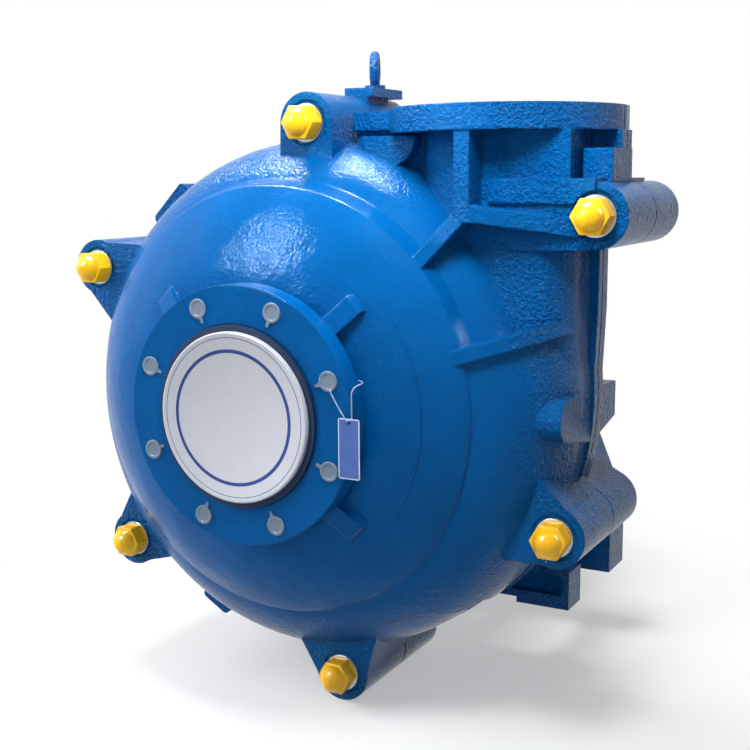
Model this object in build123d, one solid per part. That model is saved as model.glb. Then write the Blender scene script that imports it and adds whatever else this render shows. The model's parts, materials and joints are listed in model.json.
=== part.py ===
from build123d import *
import math
import os

# Slurry pump, all sizes in millimetres.
# Shapes are built round the shaft axis: the axis lies along Y at z = 0, and y = 0 is the
# front face of the intake flange. A station is a distance behind that face.
# The finished pieces are then moved so that the origin is the centre of the foot bolt
# pattern, on the underside of the feet.

# Fits between pieces
FIT_GAP = 0.3
SEAT_GAP = 0.2
RUN_GAP = 0.05

# Intake flange of the cover plate
INTAKE_FLANGE_DIA = 343.0
INTAKE_FLANGE_THICK = 32.0
INTAKE_BOLT_CIRCLE = 298.5
INTAKE_HOLE_DIA = 22.2
INTAKE_HOLES = 8
INTAKE_GUSSET_WIDTH = 28.0
INTAKE_GUSSET_REACH = 40.0
INTAKE_PIPE_BORE = 203.0

# Round body of the casing: its axis lies beside the shaft, as the volute needs
BODY_R = 371.0
BODY_X = -12.5
BODY_Z = -13.5
BELLY_CURVE = 136.0
BELLY_STATION = 240.0
CASTING_WALL = 20.0
RIM_PROUD = 3.0
RIM_DEPTH = 14.0

# Wider round on the discharge side, which starts at a rounded lip near the bottom
SPREAD = 26.0
SPREAD_AWAY_DEG = 185.0
SPREAD_START_DEG = 75.4
SPREAD_END_DEG = 136.0
SPREAD_LIP_SWEEP_DEG = 16.0
SPREAD_LIP_R = 58.0
SPREAD_LIP_INSET = 54.0

# Shallow dome in front of the body, with a crease round its edge
DOME_START_R = 134.0
DOME_START = 42.0
DOME_RISE = 15.0
CREASE_INSET = 76.0
CREASE_STATION = 104.0
CREASE_STEP = 26.0
CREASE_SHIFT = 9.0

# Split between the two casing halves
PARTING = 285.0
PARTING_GAP = 3.0

# Bolts that hold the casing halves: radius and clockwise angle from the top
BOLT_CIRCLE_OUT = 34.0
SIDE_BOLT_ANGLES = (112.5, 172.0, 231.5, 295.0)
TOP_BOLT_R = 378.0
TOP_BOLT_DEG = 1.5
NECK_BOLT_R = 492.0
NECK_BOLT_DEG = 58.6
LUG_R = 41.5
LUG_FRONT = 165.0
LUG_BACK = 395.0
LUG_ROOT_INSET = 41.0
LUG_ROOT_HALF = 74.0
LUG_BACK_ROOT_HALF = 50.0
TOP_LUG_ROOT_Z = 300.0
SPOTFACE_R = 31.0
SPOTFACE_DEPTH = 3.0
COVER_BOLT_DIA = 24.0
COVER_BOLT_HOLE_DIA = 27.0
COVER_HEAD_AF = 36.0
COVER_HEAD_HEIGHT = 15.0
COVER_NUT_HEIGHT = 19.0
COVER_WASHER_R = 26.0
COVER_WASHER_THICK = 4.0
COVER_BOLT_TAIL = 12.0
CAP_AF = 44.0
CAP_HEX_LENGTH = 24.0
CAP_DOME_R = 19.5

# Discharge neck and flange
DISCHARGE_TOP = 395.0
DISCHARGE_FLANGE_DIA = 320.0
DISCHARGE_FLANGE_THICK = 33.0
DISCHARGE_BOLT_CIRCLE = 262.0
DISCHARGE_HOLE_DIA = 20.0
DISCHARGE_HOLES = 8
DISCHARGE_BORE = 152.0
NECK_WALL = 19.0
NECK_FOOT_Z = 60.0
NECK_WALL_OUT = 12.0
NECK_WALL_FRONT = 168.0
NECK_WALL_CURVE = 58.0
NECK_PANEL_FRONT = 176.0
NECK_WEB_FRONT = 216.0
NECK_RIB_WIDTH = 21.0
NECK_RIB_FRONT = 127.0
NECK_RIB_TURN_Z = 252.0
SLANT_RIB_WIDTH = 19.0
ARM_RIB_HEIGHT = 22.0
ARM_RIB_FALL = 20.0
STRIP_FRONT = 161.0
STRIP_LOW_Z = 271.0
STRIP_HIGH_Z = 302.0
ARM_LOW_Z = 212.0
ARM_FRONT = 160.0
NECK_PARTING_OUT = 40.0
RADIAL_RIB_DEG = 73.0
RADIAL_RIB_WIDTH = 19.0
RADIAL_RIB_PROUD = 9.0

# Jacking lugs at the split: clockwise angle, half width and how far each stands out of the body
JACK_LUGS = ((211.0, 27.0, 50.0), (264.0, 9.0, 12.0), (271.5, 14.0, 10.0), (315.0, 40.0, 32.0))
JACK_LUG_LENGTH = 34.0
JACK_LUG_CORNER = 8.0
SIDE_LUG_OUT = 29.0
SIDE_LUG_FRONT = 150.0
SIDE_LUG_LOW_Z = -31.0
SIDE_LUG_HIGH_Z = 28.0
SIDE_LUG_DROP = 19.0
SIDE_LUG_NOSE_R = 28.0
SIDE_LUG_BACK_LENGTH = 88.0

# Liners inside the casing
LINER_HALF_WIDTH = 104.0
LINER_WALL = 20.0
LINER_CORNER = 36.0
LINER_NECK_WALL = 20.0
VOLUTE_START_GAP = 53.0
VOLUTE_END_GAP = 15.0
CUTWATER_GAP = 28.0
SIDE_OPENING_INSET = 45.0
CUTWATER_DEG = 32.0
VOLUTE_SWEEP_DEG = 300.0
LAND_WIDTH = 36.0
LAND_OVERLAP = 9.0
THROAT_NECK_R = 120.0
THROAT_FACE_THICK = 22.0
INSERT_THICK = 22.0
INSERT_BORE_R = 86.0
JOINT_RING_PROUD = 5.0
JOINT_RING_DEPTH = 8.0
JOINT_RING_WIDTH = 15.0
DISCHARGE_RING_PROUD = 3.0
DISCHARGE_RING_DEPTH = 8.0

# Frame plate
FRAME_PLATE_WALL = 21.0
FRAME_STEP = 14.0
FRAME_SHOULDER_INSET = 57.0
FRAME_SHOULDER_RISE = 8.0
FRAME_BOWL_STATION = 320.0
FRAME_RIM_DEPTH = 20.0
FRAME_RIB_WIDTH = 18.0

# Stuffing box and its seals
BOX_PILOT_R = 128.0
BOX_BARREL_R = 108.0
BOX_FLANGE_R = 148.0
BOX_FLANGE_THICK = 11.0
BOX_BACK = 520.0
PACKING_WIDTH = 20.0
PACKING_RINGS = 4
NECK_RING_LENGTH = 12.0
GLAND_FLANGE_THICK = 18.0
GLAND_STUD_X = 98.0
GLAND_STUD_DIA = 16.0
GLAND_TRAVEL = 12.0
GLAND_NUT_LENGTH = 14.0
GLAND_BACK_GAP = 8.0
GLAND_EAR_R = 22.0

# Impeller
IMPELLER_FRONT = 208.0
IMPELLER_BACK = 358.0
SHROUD_THICK = 18.0
EYE_R = 100.0
IMPELLER_HUB_R = 72.0
IMPELLER_HUB_BACK = 384.0
VANES = 5
VANE_THICK = 17.0
VANE_WRAP_DEG = 95.0
VANE_INLET_R = 86.0

# Shaft line
SHAFT_NOSE_R = 36.0
SHAFT_NOSE_START = 300.0
SLEEVE_BORE_R = 45.0
SLEEVE_R = 60.0
SLEEVE_END = 556.0
BEARING_SEAT_R = 50.0
SHAFT_MIDDLE_R = 57.0
COUPLING_SEAT_R = 40.0
COUPLING_SEAT_LENGTH = 165.0
SHAFT_END = 1295.0
KEYWAY_WIDTH = 22.0
KEYWAY_DEPTH = 9.0
KEYWAY_LENGTH = 140.0
KEYWAY_TURN_DEG = 22.5

# Bearing assembly
HOUSING_START = 612.0
HOUSING_END = 1002.0
HOUSING_R = 120.0
HOUSING_WALL = 18.0
HOUSING_FLANGE_R = 132.0
HOUSING_FLANGE_THICK = 22.0
HOUSING_BOLT_CIRCLE_R = 112.0
HOUSING_BOLTS = 6
HOUSING_BOLT_DIA = 12.0
BEARING_R = 90.0
BEARING_WIDTH = 46.0
BEARING_INSET = 26.0
RING_THICK = 10.0
ROLLERS = 16
ROLLER_R = 9.0
ROLLER_GAP = 0.3
END_COVER_THICK = 14.0
LABYRINTH_R = 72.0
LABYRINTH_LENGTH = 22.0
LABYRINTH_PROUD = 4.0
LOCKNUT_R = 66.0
LOCKNUT_LENGTH = 16.0

# Base frame
SHAFT_HEIGHT = 345.0
BASE_START = 410.0
BASE_LENGTH = 448.0
BASE_FLANGE_R = 240.0
BASE_FLANGE_THICK = 24.0
BASE_FLANGE_BORE_R = 150.0
BASE_STUD_CIRCLE_R = 214.0
BASE_STUDS = 8
BASE_STUD_DIA = 20.0
BASE_WIDTH = 622.0
FOOT_HEIGHT = 58.0
FRONT_FOOT_LENGTH = 54.0
REAR_FOOT_LENGTH = 75.0
FOOT_HOLE_SPACING_X = 546.0
FOOT_HOLE_SPACING_Y = 210.0
FOOT_HOLE_DIA = 28.0
FOOT_WALL = 16.0
FOOT_PAD_WIDTH = 84.0
FOOT_PAD_THICK = 24.0
FOOT_EDGE_HEIGHT = 18.0
FOOT_END_RIM = 10.0
FOOT_RECESS = 10.0
FRONT_WALL_FOOT_X = 270.0
PEDESTAL_KNEE_Z = -235.0
PEDESTAL_TOP_Z = -64.0
PEDESTAL_TOP_X = 240.0
SIDE_WALL_TOP_Z = -52.0
CRADLE_X = 112.0
CRADLE_WALL = 24.0
PAD_Z = -142.0
PAD_THICK = 26.0
PAD_HALF = 52.0

# Sliding feet of the bearing housing and their clamps
RAIL_THICK = 20.0
RAIL_SLOT_TRAVEL = 24.0
CLAMP_BOLT_X = 140.0
CLAMP_BOLT_DIA = 20.0
CLAMP_INSET = 52.0
CLAMP_WASHER_R = 21.0
CLAMP_WASHER_THICK = 8.0
ADJUST_SCREW_DIA = 24.0
ADJUST_SCREW_Z = -172.0
ADJUST_LUG_THICK = 30.0
ADJUST_LUG_INSET = 85.0
ADJUST_NUT_LENGTH = 18.0
BASE_LUG_THICK = 22.0
BASE_LUG_DROP = 74.0

# Pieces fitted for transport and lifting
COVER_DISC_R = 112.0
COVER_DISC_THICK = 7.0
COVER_DISC_SPIGOT = 10.0
PLUG_HEAD_R = 13.0
PLUG_HEAD_THICK = 2.0
PLUG_SPIGOT = 14.0
PLUG_TAB = 7.0
TAG_WIDTH = 30.0
TAG_HEIGHT = 76.0
TAG_THICK = 0.8
TAG_HOLE_DIA = 5.0
TAG_STRING_DIA = 1.6
TAG_HOLE_X = 170.0
TAG_HOLE_Z = 9.0
TAG_STATION = -6.0
TAG_PLAY = 0.25
STRING_PLUG = 1
STRING_NOTCH_R = 8.5
STRING_RIM_DEG = 73.0
STRING_RIM_GAP = 10.0
STRING_BACK_GAP = 4.0
STRING_BEND_R = 9.0
STRING_SAG = 1.5
EYE_RING_R = 20.0
EYE_WIRE_DIA = 14.0
EYE_X = 23.0
EYE_STATION = 338.0
EYE_TURN_DEG = 25.0
SHELF_TOP_Z = 431.0
SHELF_THICK = 13.0
SHELF_LENGTH = 92.0

# Places worked out from the sizes above
CREASE_R = BODY_R - CREASE_INSET
BOLT_CIRCLE_R = BODY_R + BOLT_CIRCLE_OUT
LUG_ROOT_R = BODY_R - LUG_ROOT_INSET
FRAME_BODY_R = BODY_R - FRAME_STEP
FRAME_SHOULDER_R = BODY_R - FRAME_SHOULDER_INSET
VOLUTE_START_R = BODY_R - CASTING_WALL - VOLUTE_START_GAP
VOLUTE_END_R = BODY_R - CASTING_WALL - VOLUTE_END_GAP
IMPELLER_R = VOLUTE_START_R - LINER_WALL - CUTWATER_GAP
LINER_OPENING_R = IMPELLER_R - SIDE_OPENING_INSET
COVER_END = PARTING - PARTING_GAP / 2
FRAME_START = PARTING + PARTING_GAP / 2
LINER_FRONT = PARTING - LINER_HALF_WIDTH
LINER_BACK = PARTING + LINER_HALF_WIDTH
FRAME_BACK = LINER_BACK + FRAME_PLATE_WALL
NECK_BORE_R = DISCHARGE_BORE / 2 + LINER_NECK_WALL + FIT_GAP
NECK_OUTER_R = NECK_BORE_R + NECK_WALL
DISCHARGE_X = BODY_R - NECK_OUTER_R
NECK_SIDE_X = BODY_R + NECK_WALL_OUT
COVER_BORE_R = THROAT_NECK_R + FIT_GAP
BOX_BORE_R = SLEEVE_R + PACKING_WIDTH
FOOT_Z = -SHAFT_HEIGHT
BASE_END = BASE_START + BASE_LENGTH
FRONT_HOLE_STATION = BASE_START + FRONT_FOOT_LENGTH / 2
REAR_HOLE_STATION = FRONT_HOLE_STATION + FOOT_HOLE_SPACING_Y
REAR_FOOT_START = REAR_HOLE_STATION - REAR_FOOT_LENGTH / 2
REAR_FOOT_END = REAR_FOOT_START + REAR_FOOT_LENGTH
ORIGIN_STATION = FRONT_HOLE_STATION + FOOT_HOLE_SPACING_Y / 2
FRONT_BEARING = HOUSING_START + BEARING_INSET
REAR_BEARING = HOUSING_END - BEARING_INSET - BEARING_WIDTH
ROW_FRAME = Pos(0, -ORIGIN_STATION, SHAFT_HEIGHT)


def save(shape, name):
    """Move a piece from the shaft axis to the part's frame and write its file."""
    export_step(ROW_FRAME * shape, f"parts/{name}.step")


def front(station):
    """Plane facing the intake: its x is X and its y is Z."""
    return Plane(origin=(0, station, 0), x_dir=(1, 0, 0), z_dir=(0, -1, 0))


def slab(sketch, start, end):
    """Front-view sketch thickened from one station to another."""
    return extrude(front(end) * sketch, end - start)


def bar(x, z, radius, start, end):
    """Round bar parallel to the shaft."""
    return slab(Pos(x, z) * Circle(radius), start, end)


def pipe(outer, inner, start, end):
    """Ring or tube on the shaft axis."""
    return slab(Circle(outer) - Circle(inner), start, end)


def post(x, station, radius, low, high):
    """Round upright bar."""
    return Pos(x, station, low) * Cylinder(radius, high - low, align=(Align.CENTER, Align.CENTER, Align.MIN))


def block(x0, x1, y0, y1, z0, z1):
    """Rectangular block between two corners."""
    return Pos((x0 + x1) / 2, (y0 + y1) / 2, (z0 + z1) / 2) * Box(x1 - x0, y1 - y0, z1 - z0)


def at_angle(radius, degrees):
    """Point in the front view at a clockwise angle from the top."""
    a = math.radians(degrees)
    return (radius * math.sin(a), radius * math.cos(a))


def outline(*points):
    """Straight-sided face through the points."""
    return make_face(Polyline(*points, close=True))


def swelled(start, end, rise):
    """Arc that swells by rise to the right of the line from start to end."""
    dx = end[0] - start[0]
    dy = end[1] - start[1]
    length = math.hypot(dx, dy)
    middle = ((start[0] + end[0]) / 2 + rise * dy / length, (start[1] + end[1]) / 2 - rise * dx / length)
    return ThreePointArc(start, middle, end)


def turned(face, start_deg=90.0, sweep=360.0):
    """Face of (radius, station) turned about the shaft, from a clockwise angle."""
    return revolve(Rot(0, start_deg - 90.0, 0) * face, Axis.Y, sweep)


def cover_bolt_points():
    """Places of the six casing bolts in the front view."""
    points = [at_angle(BOLT_CIRCLE_R, a) for a in SIDE_BOLT_ANGLES]
    points.append(at_angle(TOP_BOLT_R, TOP_BOLT_DEG))
    points.append(at_angle(NECK_BOLT_R, NECK_BOLT_DEG))
    return points


def ring_points(radius, count, first=0.0):
    """Evenly spaced points of a bolt circle."""
    return [at_angle(radius, first + 360.0 * i / count) for i in range(count)]


# Cover plate: the front half of the casing


def dome_half(depth):
    """Half section of the dome, depth under its outer skin."""
    dome = (DOME_START_R, DOME_START + depth)
    crease = (CREASE_R - 0.6 * depth, CREASE_STATION + 0.8 * depth)
    step = (crease[0] + CREASE_SHIFT, crease[1] + CREASE_STEP)
    edges = Line((0, dome[1]), dome) + swelled(dome, crease, DOME_RISE) + Line(crease, step)
    edges += Line(step, (step[0], COVER_END)) + Line((step[0], COVER_END), (0, COVER_END))
    edges += Line((0, COVER_END), (0, dome[1]))
    return make_face(edges)


def belly_half(radius, depth):
    """Half section of the cover's round body, depth under its outer skin."""
    curve = BELLY_CURVE - depth
    centre = radius - BELLY_CURVE
    start = (centre, BELLY_STATION - curve)
    middle = (centre + curve * math.sin(math.pi / 4), BELLY_STATION - curve * math.cos(math.pi / 4))
    end = (centre + curve, BELLY_STATION)
    edges = Line((0, start[1]), start) + ThreePointArc(start, middle, end) + Line(end, (end[0], COVER_END))
    edges += Line((end[0], COVER_END), (0, COVER_END)) + Line((0, COVER_END), (0, start[1]))
    return make_face(edges)


def spread_centre():
    """Axis of the wider round on the discharge side, in the front view."""
    x, z = at_angle(SPREAD, SPREAD_AWAY_DEG)
    return (BODY_X - x, BODY_Z - z)


def two_rounds(plain, wide):
    """Body section turned about its own axis, with the wider section on the discharge side."""
    x, z = spread_centre()
    sector = Pos(x, 0, z) * turned(wide, SPREAD_START_DEG, SPREAD_END_DEG - SPREAD_START_DEG)
    low_end = Pos(x, 0, z) * turned(wide, SPREAD_END_DEG, SPREAD_LIP_SWEEP_DEG)
    lip_x, lip_z = at_angle(BODY_R - SPREAD_LIP_INSET, SPREAD_END_DEG)
    lip = low_end & bar(lip_x, lip_z, SPREAD_LIP_R, 0, FRAME_BACK)
    return Pos(BODY_X, 0, BODY_Z) * turned(plain) + sector + lip


def cover_body(depth):
    """Dome and round body of the cover, depth under the outer skin."""
    rounds = two_rounds(belly_half(BODY_R, depth), belly_half(BODY_R + SPREAD, depth))
    return rounds + Pos(BODY_X, 0, 0) * turned(dome_half(depth))


def neck_strip(start, end):
    """Raised edge at the split, carried up the neck's side."""
    low = spread_centre()[1] - CASTING_WALL
    edge = NECK_SIDE_X + 0.5 * NECK_WALL_OUT + RIM_PROUD
    half_way = 0.5 * (low + STRIP_LOW_Z)
    corners = (
        (DISCHARGE_X, low),
        (NECK_SIDE_X + RIM_PROUD, low),
        (edge, half_way),
        (edge, STRIP_LOW_Z),
        (DISCHARGE_X, STRIP_LOW_Z),
    )
    return slab(outline(*corners), start, end)


def neck_side():
    """Upright wall that carries the widest part of the body up to the arm."""
    low = spread_centre()[1] - CASTING_WALL
    wall = front_corner(NECK_SIDE_X, NECK_WALL_FRONT, NECK_WALL_CURVE)
    body = extrude(Plane(origin=(0, 0, low)) * wall, STRIP_LOW_Z - low)
    return body + neck_strip(COVER_END - RIM_DEPTH, COVER_END)


def frame_neck_side():
    """Same wall on the frame plate, kept narrower behind its raised edge."""
    strip = neck_strip(FRAME_START, FRAME_START + FRAME_RIM_DEPTH)
    low = spread_centre()[1] - CASTING_WALL
    return strip + block(DISCHARGE_X, NECK_SIDE_X - FRAME_STEP, FRAME_START, FRAME_BOWL_STATION, low, STRIP_LOW_Z)


def front_corner(x, y, curve):
    """Plan of a wall from the neck's axis to x, its front corner rounded."""
    edges = Line((DISCHARGE_X, COVER_END), (DISCHARGE_X, y)) + Line((DISCHARGE_X, y), (x - curve, y))
    corner = (x - curve * (1 - math.sin(math.pi / 4)), y + curve * (1 - math.cos(math.pi / 4)))
    edges += ThreePointArc((x - curve, y), corner, (x, y + curve))
    edges += Line((x, y + curve), (x, COVER_END)) + Line((x, COVER_END), (DISCHARGE_X, COVER_END))
    return make_face(edges)


def frame_half(radius, depth):
    """Half section of the frame plate's bowl, depth under its outer skin."""
    wall = FRAME_BACK - depth
    shoulder = (FRAME_SHOULDER_R - BODY_R + radius, wall)
    belly = (radius - FRAME_STEP - depth, FRAME_BOWL_STATION)
    edges = Line((0, FRAME_START), (belly[0], FRAME_START)) + Line((belly[0], FRAME_START), belly)
    edges += swelled(belly, shoulder, FRAME_SHOULDER_RISE) + Line(shoulder, (0, wall))
    edges += Line((0, wall), (0, FRAME_START))
    return make_face(edges)


def frame_body(depth):
    """Round body of the frame plate, depth under the outer skin."""
    return two_rounds(frame_half(BODY_R, depth), frame_half(BODY_R + SPREAD, depth))


def rim(radius, start, end):
    """Raised edge of a casing half at the split."""

    def edge(outer):
        """Section of the raised edge."""
        inner = outer - CASTING_WALL
        return outline((inner, start), (outer, start), (outer, end), (inner, end))

    return two_rounds(edge(radius), edge(radius + SPREAD))





def lug(point, start, end, root_half, root_r):
    """Bolt lug: a round boss on a tapering web from the casing."""
    x, z = point
    radius = math.hypot(x, z)
    degrees = math.degrees(math.atan2(x, z))
    web = Rot(0, 0, -degrees) * outline(
        (-root_half, root_r),
        (root_half, root_r),
        (LUG_R, radius),
        (-LUG_R, radius),
    )
    return slab(web + Pos(x, z) * Circle(LUG_R), start, end)


def side_lugs(start, end, root_half):
    """The four lugs on the main bolt circle and the straight-sided top one."""
    shapes = [lug(at_angle(BOLT_CIRCLE_R, a), start, end, root_half, LUG_ROOT_R) for a in SIDE_BOLT_ANGLES]
    shapes.append(lug(at_angle(TOP_BOLT_R, TOP_BOLT_DEG), start, end, LUG_R, TOP_LUG_ROOT_Z))
    return Part() + shapes


def neck_half(radius, low, high, y0, y1):
    """Length of the discharge neck's round, kept to one side of the split."""
    column = post(DISCHARGE_X, PARTING, radius, low, high)
    return column & block(DISCHARGE_X - radius - 1, DISCHARGE_X + radius + 1, y0, y1, low - 1, high + 1)


def neck_arm(start, end):
    """Arm from the discharge neck to the outer bolt lug, flat underneath, with its upper panel."""
    x, z = at_angle(NECK_BOLT_R, NECK_BOLT_DEG)
    flange_z = DISCHARGE_TOP - DISCHARGE_FLANGE_THICK
    low = (DISCHARGE_X + NECK_OUTER_R / 2, ARM_LOW_Z)
    plate = outline(
        (DISCHARGE_X, ARM_LOW_Z + 28),
        low,
        (x, ARM_LOW_Z + 3),
        (x, STRIP_HIGH_Z),
        (DISCHARGE_X, STRIP_HIGH_Z),
    )
    boss = Pos(x, z) * Circle(LUG_R)
    upper = outline(
        (DISCHARGE_X, STRIP_LOW_Z),
        (NECK_SIDE_X, STRIP_LOW_Z),
        (NECK_SIDE_X, flange_z + 1),
        (DISCHARGE_X, flange_z + 1),
    )
    body = slab(plate, max(start, ARM_FRONT), end) + slab(boss, start, end)
    return body + slab(upper, max(start, NECK_PANEL_FRONT), end)


def neck_parting(start, end):
    """Upright strip beside the split, between the outer lug and the discharge flange."""
    z = at_angle(NECK_BOLT_R, NECK_BOLT_DEG)[1]
    high = DISCHARGE_TOP - DISCHARGE_FLANGE_THICK + 1
    return block(NECK_SIDE_X - 20, BODY_R + NECK_PARTING_OUT + 9, start, end, z, high)


def discharge_holes():
    """Cutter for the bolt holes of the discharge flange."""
    low = DISCHARGE_TOP - DISCHARGE_FLANGE_THICK - 1
    step = 360.0 / DISCHARGE_HOLES
    cutters = []
    for i in range(DISCHARGE_HOLES):
        dx, dy = at_angle(DISCHARGE_BOLT_CIRCLE / 2, step * (i + 0.5))
        cutters.append(post(DISCHARGE_X + dx, PARTING + dy, DISCHARGE_HOLE_DIA / 2, low, DISCHARGE_TOP + 1))
    return cutters


def bolt_holes(start, end):
    """Cutters for the casing bolts."""
    return [bar(x, z, COVER_BOLT_HOLE_DIA / 2, start, end) for x, z in cover_bolt_points()]


def intake_gussets():
    """Four short webs that tie the intake flange to the dome, between the bolt holes."""
    reach = INTAKE_FLANGE_DIA / 2 + INTAKE_GUSSET_REACH
    side = outline(
        (DOME_START_R - 8, INTAKE_FLANGE_THICK - 2),
        (INTAKE_FLANGE_DIA / 2 - 2, INTAKE_FLANGE_THICK - 2),
        (reach - 3, DOME_START + 3),
        (reach, DOME_START + 7),
        (reach, DOME_START + 34),
        (DOME_START_R - 8, DOME_START + 16),
    )
    web = Pos(0, 0, -INTAKE_GUSSET_WIDTH / 2) * extrude(side, INTAKE_GUSSET_WIDTH)
    return [Rot(0, a - 90.0, 0) * web for a in (45.0, 135.0, 225.0, 315.0)]


def neck_ribs():
    """Upright rib under the discharge flange, its slanting foot, the arm rib, strip and end block."""
    bx, bz = at_angle(NECK_BOLT_R, NECK_BOLT_DEG)
    left = DISCHARGE_X - 0.4 * NECK_RIB_WIDTH
    right = left + NECK_RIB_WIDTH
    turn = NECK_RIB_TURN_Z
    path = outline(
        (left, DISCHARGE_TOP - DISCHARGE_FLANGE_THICK + 2),
        (right, DISCHARGE_TOP - DISCHARGE_FLANGE_THICK + 2),
        (right, turn + ARM_RIB_HEIGHT - 4),
        (bx, turn + ARM_RIB_HEIGHT - 4 - ARM_RIB_FALL),
        (bx, turn - 4 - ARM_RIB_FALL),
        (right, turn - 4),
        (left, turn - 6),
    )
    tall = slab(path, NECK_RIB_FRONT, PARTING - 60)
    strip_face = outline(
        (right + 11, STRIP_LOW_Z),
        (bx, STRIP_LOW_Z),
        (bx, STRIP_HIGH_Z),
        (right + 11, STRIP_HIGH_Z),
    )
    strip = slab(strip_face, STRIP_FRONT, PARTING - 40)
    end = block(bx - 31, bx + 8, ARM_FRONT + 44, COVER_END, STRIP_HIGH_Z - 4, STRIP_HIGH_Z + 37)
    # The arm rib falls back to the face of the outer lug
    slope = outline(
        (right, NECK_RIB_FRONT - 20),
        (bx + 60, NECK_RIB_FRONT - 20),
        (bx + 60, LUG_FRONT + 2),
        (bx, LUG_FRONT + 2),
        (right, NECK_RIB_FRONT),
    )
    trim = extrude(Plane(origin=(0, 0, turn - 60)) * slope, 90.0)
    return (tall - trim) + slant_rib() + strip + end


def slant_rib():
    """Rib from the crease up to the upright rib, its face falling back on the way."""
    foot = (BODY_X + at_angle(CREASE_R, 48.0)[0], at_angle(CREASE_R, 48.0)[1])
    top = (DISCHARGE_X - 4, NECK_RIB_TURN_Z)
    length = math.dist(foot, top)
    along = ((top[0] - foot[0]) / length, (top[1] - foot[1]) / length)
    side = outline(
        (-14, CREASE_STATION - 3),
        (length, NECK_RIB_FRONT),
        (length, PARTING - 60),
        (-14, PARTING - 60),
    )
    plane = Plane(origin=(foot[0], 0, foot[1]), x_dir=(along[0], 0, along[1]), z_dir=(-along[1], 0, along[0]))
    return extrude(plane * side, SLANT_RIB_WIDTH / 2, both=True)


def radial_rib():
    """Rib across the wider round, from the crease to the rim, standing proud all the way."""
    x, z = spread_centre()
    grown = Pos(x, 0, z) * turned(belly_half(BODY_R + SPREAD, -RADIAL_RIB_PROUD), SPREAD_START_DEG - 20, 40)
    half = RADIAL_RIB_WIDTH / 2
    plate = block(CREASE_R - 26, BODY_R + SPREAD, CREASE_STATION - 10, COVER_END, -half, half)
    return grown & (Rot(0, RADIAL_RIB_DEG - 90.0, 0) * plate)


def jack_lugs(start, end):
    """Rounded lugs on the rim, where a bar prises the halves apart."""
    shapes = []
    for degrees, half, out in JACK_LUGS:
        low = BODY_R - CASTING_WALL
        corner = min(JACK_LUG_CORNER, half - 1, out - 1)
        profile = Pos(0, (low + BODY_R + out) / 2) * RectangleRounded(2 * half, BODY_R + out - low, corner)
        shapes.append(Pos(BODY_X, 0, BODY_Z) * slab(Rot(0, 0, -degrees) * profile, start, end))
    return shapes


def side_lug_profile(points):
    """Profile of (station, z) thickened sideways out to the jacking lug's face."""
    inner = BODY_R - 70
    sideways = Plane(origin=(inner, 0, 0), x_dir=(0, 1, 0), z_dir=(1, 0, 0))
    return extrude(sideways * points, SIDE_LUG_OUT + 56)


def side_lug_front():
    """Large jacking lug on the right of the cover: a block with a round nose, wider at the split."""
    middle = (SIDE_LUG_LOW_Z + SIDE_LUG_NOSE_R, SIDE_LUG_FRONT + SIDE_LUG_NOSE_R)
    nose = Pos(middle[1], middle[0]) * Circle(SIDE_LUG_NOSE_R)
    body = outline(
        (middle[1], SIDE_LUG_LOW_Z),
        (COVER_END, SIDE_LUG_LOW_Z - SIDE_LUG_DROP),
        (COVER_END, SIDE_LUG_HIGH_Z - 3),
        (middle[1] + 44, SIDE_LUG_HIGH_Z),
        (middle[1] - 8, SIDE_LUG_LOW_Z + 2 * SIDE_LUG_NOSE_R - 2),
    )
    return side_lug_profile(nose + body)


def side_lug_back():
    """Matching block on the frame plate, chamfered underneath."""
    return side_lug_profile(
        outline(
            (FRAME_START, SIDE_LUG_LOW_Z - SIDE_LUG_DROP + 6),
            (FRAME_START + 14, SIDE_LUG_LOW_Z - SIDE_LUG_DROP + 6),
            (FRAME_START + SIDE_LUG_BACK_LENGTH, SIDE_LUG_LOW_Z + 2),
            (FRAME_START + SIDE_LUG_BACK_LENGTH, SIDE_LUG_HIGH_Z - 8),
            (FRAME_START, SIDE_LUG_HIGH_Z - 3),
        )
    )


def cover_plate():
    """Front half of the casing with the intake flange, neck half, lugs and ribs."""
    flange_z = DISCHARGE_TOP - DISCHARGE_FLANGE_THICK
    body = cover_body(0)
    body += pipe(INTAKE_FLANGE_DIA / 2, 40, 0, INTAKE_FLANGE_THICK)
    body += pipe(DOME_START_R, 40, 0, DOME_START + 10)
    body += side_lugs(LUG_FRONT, COVER_END, LUG_ROOT_HALF) + neck_arm(LUG_FRONT, COVER_END)
    body += neck_half(NECK_OUTER_R, NECK_FOOT_Z, DISCHARGE_TOP, 0, COVER_END)
    body += neck_half(DISCHARGE_FLANGE_DIA / 2, flange_z, DISCHARGE_TOP, 0, COVER_END)
    body += neck_side() + neck_parting(COVER_END - FRAME_RIM_DEPTH, COVER_END)
    body += intake_gussets()
    body += neck_ribs()
    body += radial_rib()
    body += rim(BODY_R + RIM_PROUD, COVER_END - RIM_DEPTH, COVER_END)
    body += jack_lugs(COVER_END - JACK_LUG_LENGTH, COVER_END)
    body += side_lug_front()
    body += top_ear()
    body -= cover_body(CASTING_WALL)
    body -= post(DISCHARGE_X, PARTING, NECK_BORE_R, NECK_FOOT_Z - 60, DISCHARGE_TOP + 1)
    body -= bar(0, 0, COVER_BORE_R, -1, LINER_FRONT)
    body += cover_land()
    body -= [bar(x, z, INTAKE_HOLE_DIA / 2, -1, INTAKE_FLANGE_THICK + 1) for x, z in intake_hole_points()]
    body -= bolt_holes(LUG_FRONT - 1, COVER_END + 1)
    body -= [bar(x, z, SPOTFACE_R, LUG_FRONT - 60, LUG_FRONT + SPOTFACE_DEPTH) for x, z in cover_bolt_points()]
    body -= discharge_holes()
    return body


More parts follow.
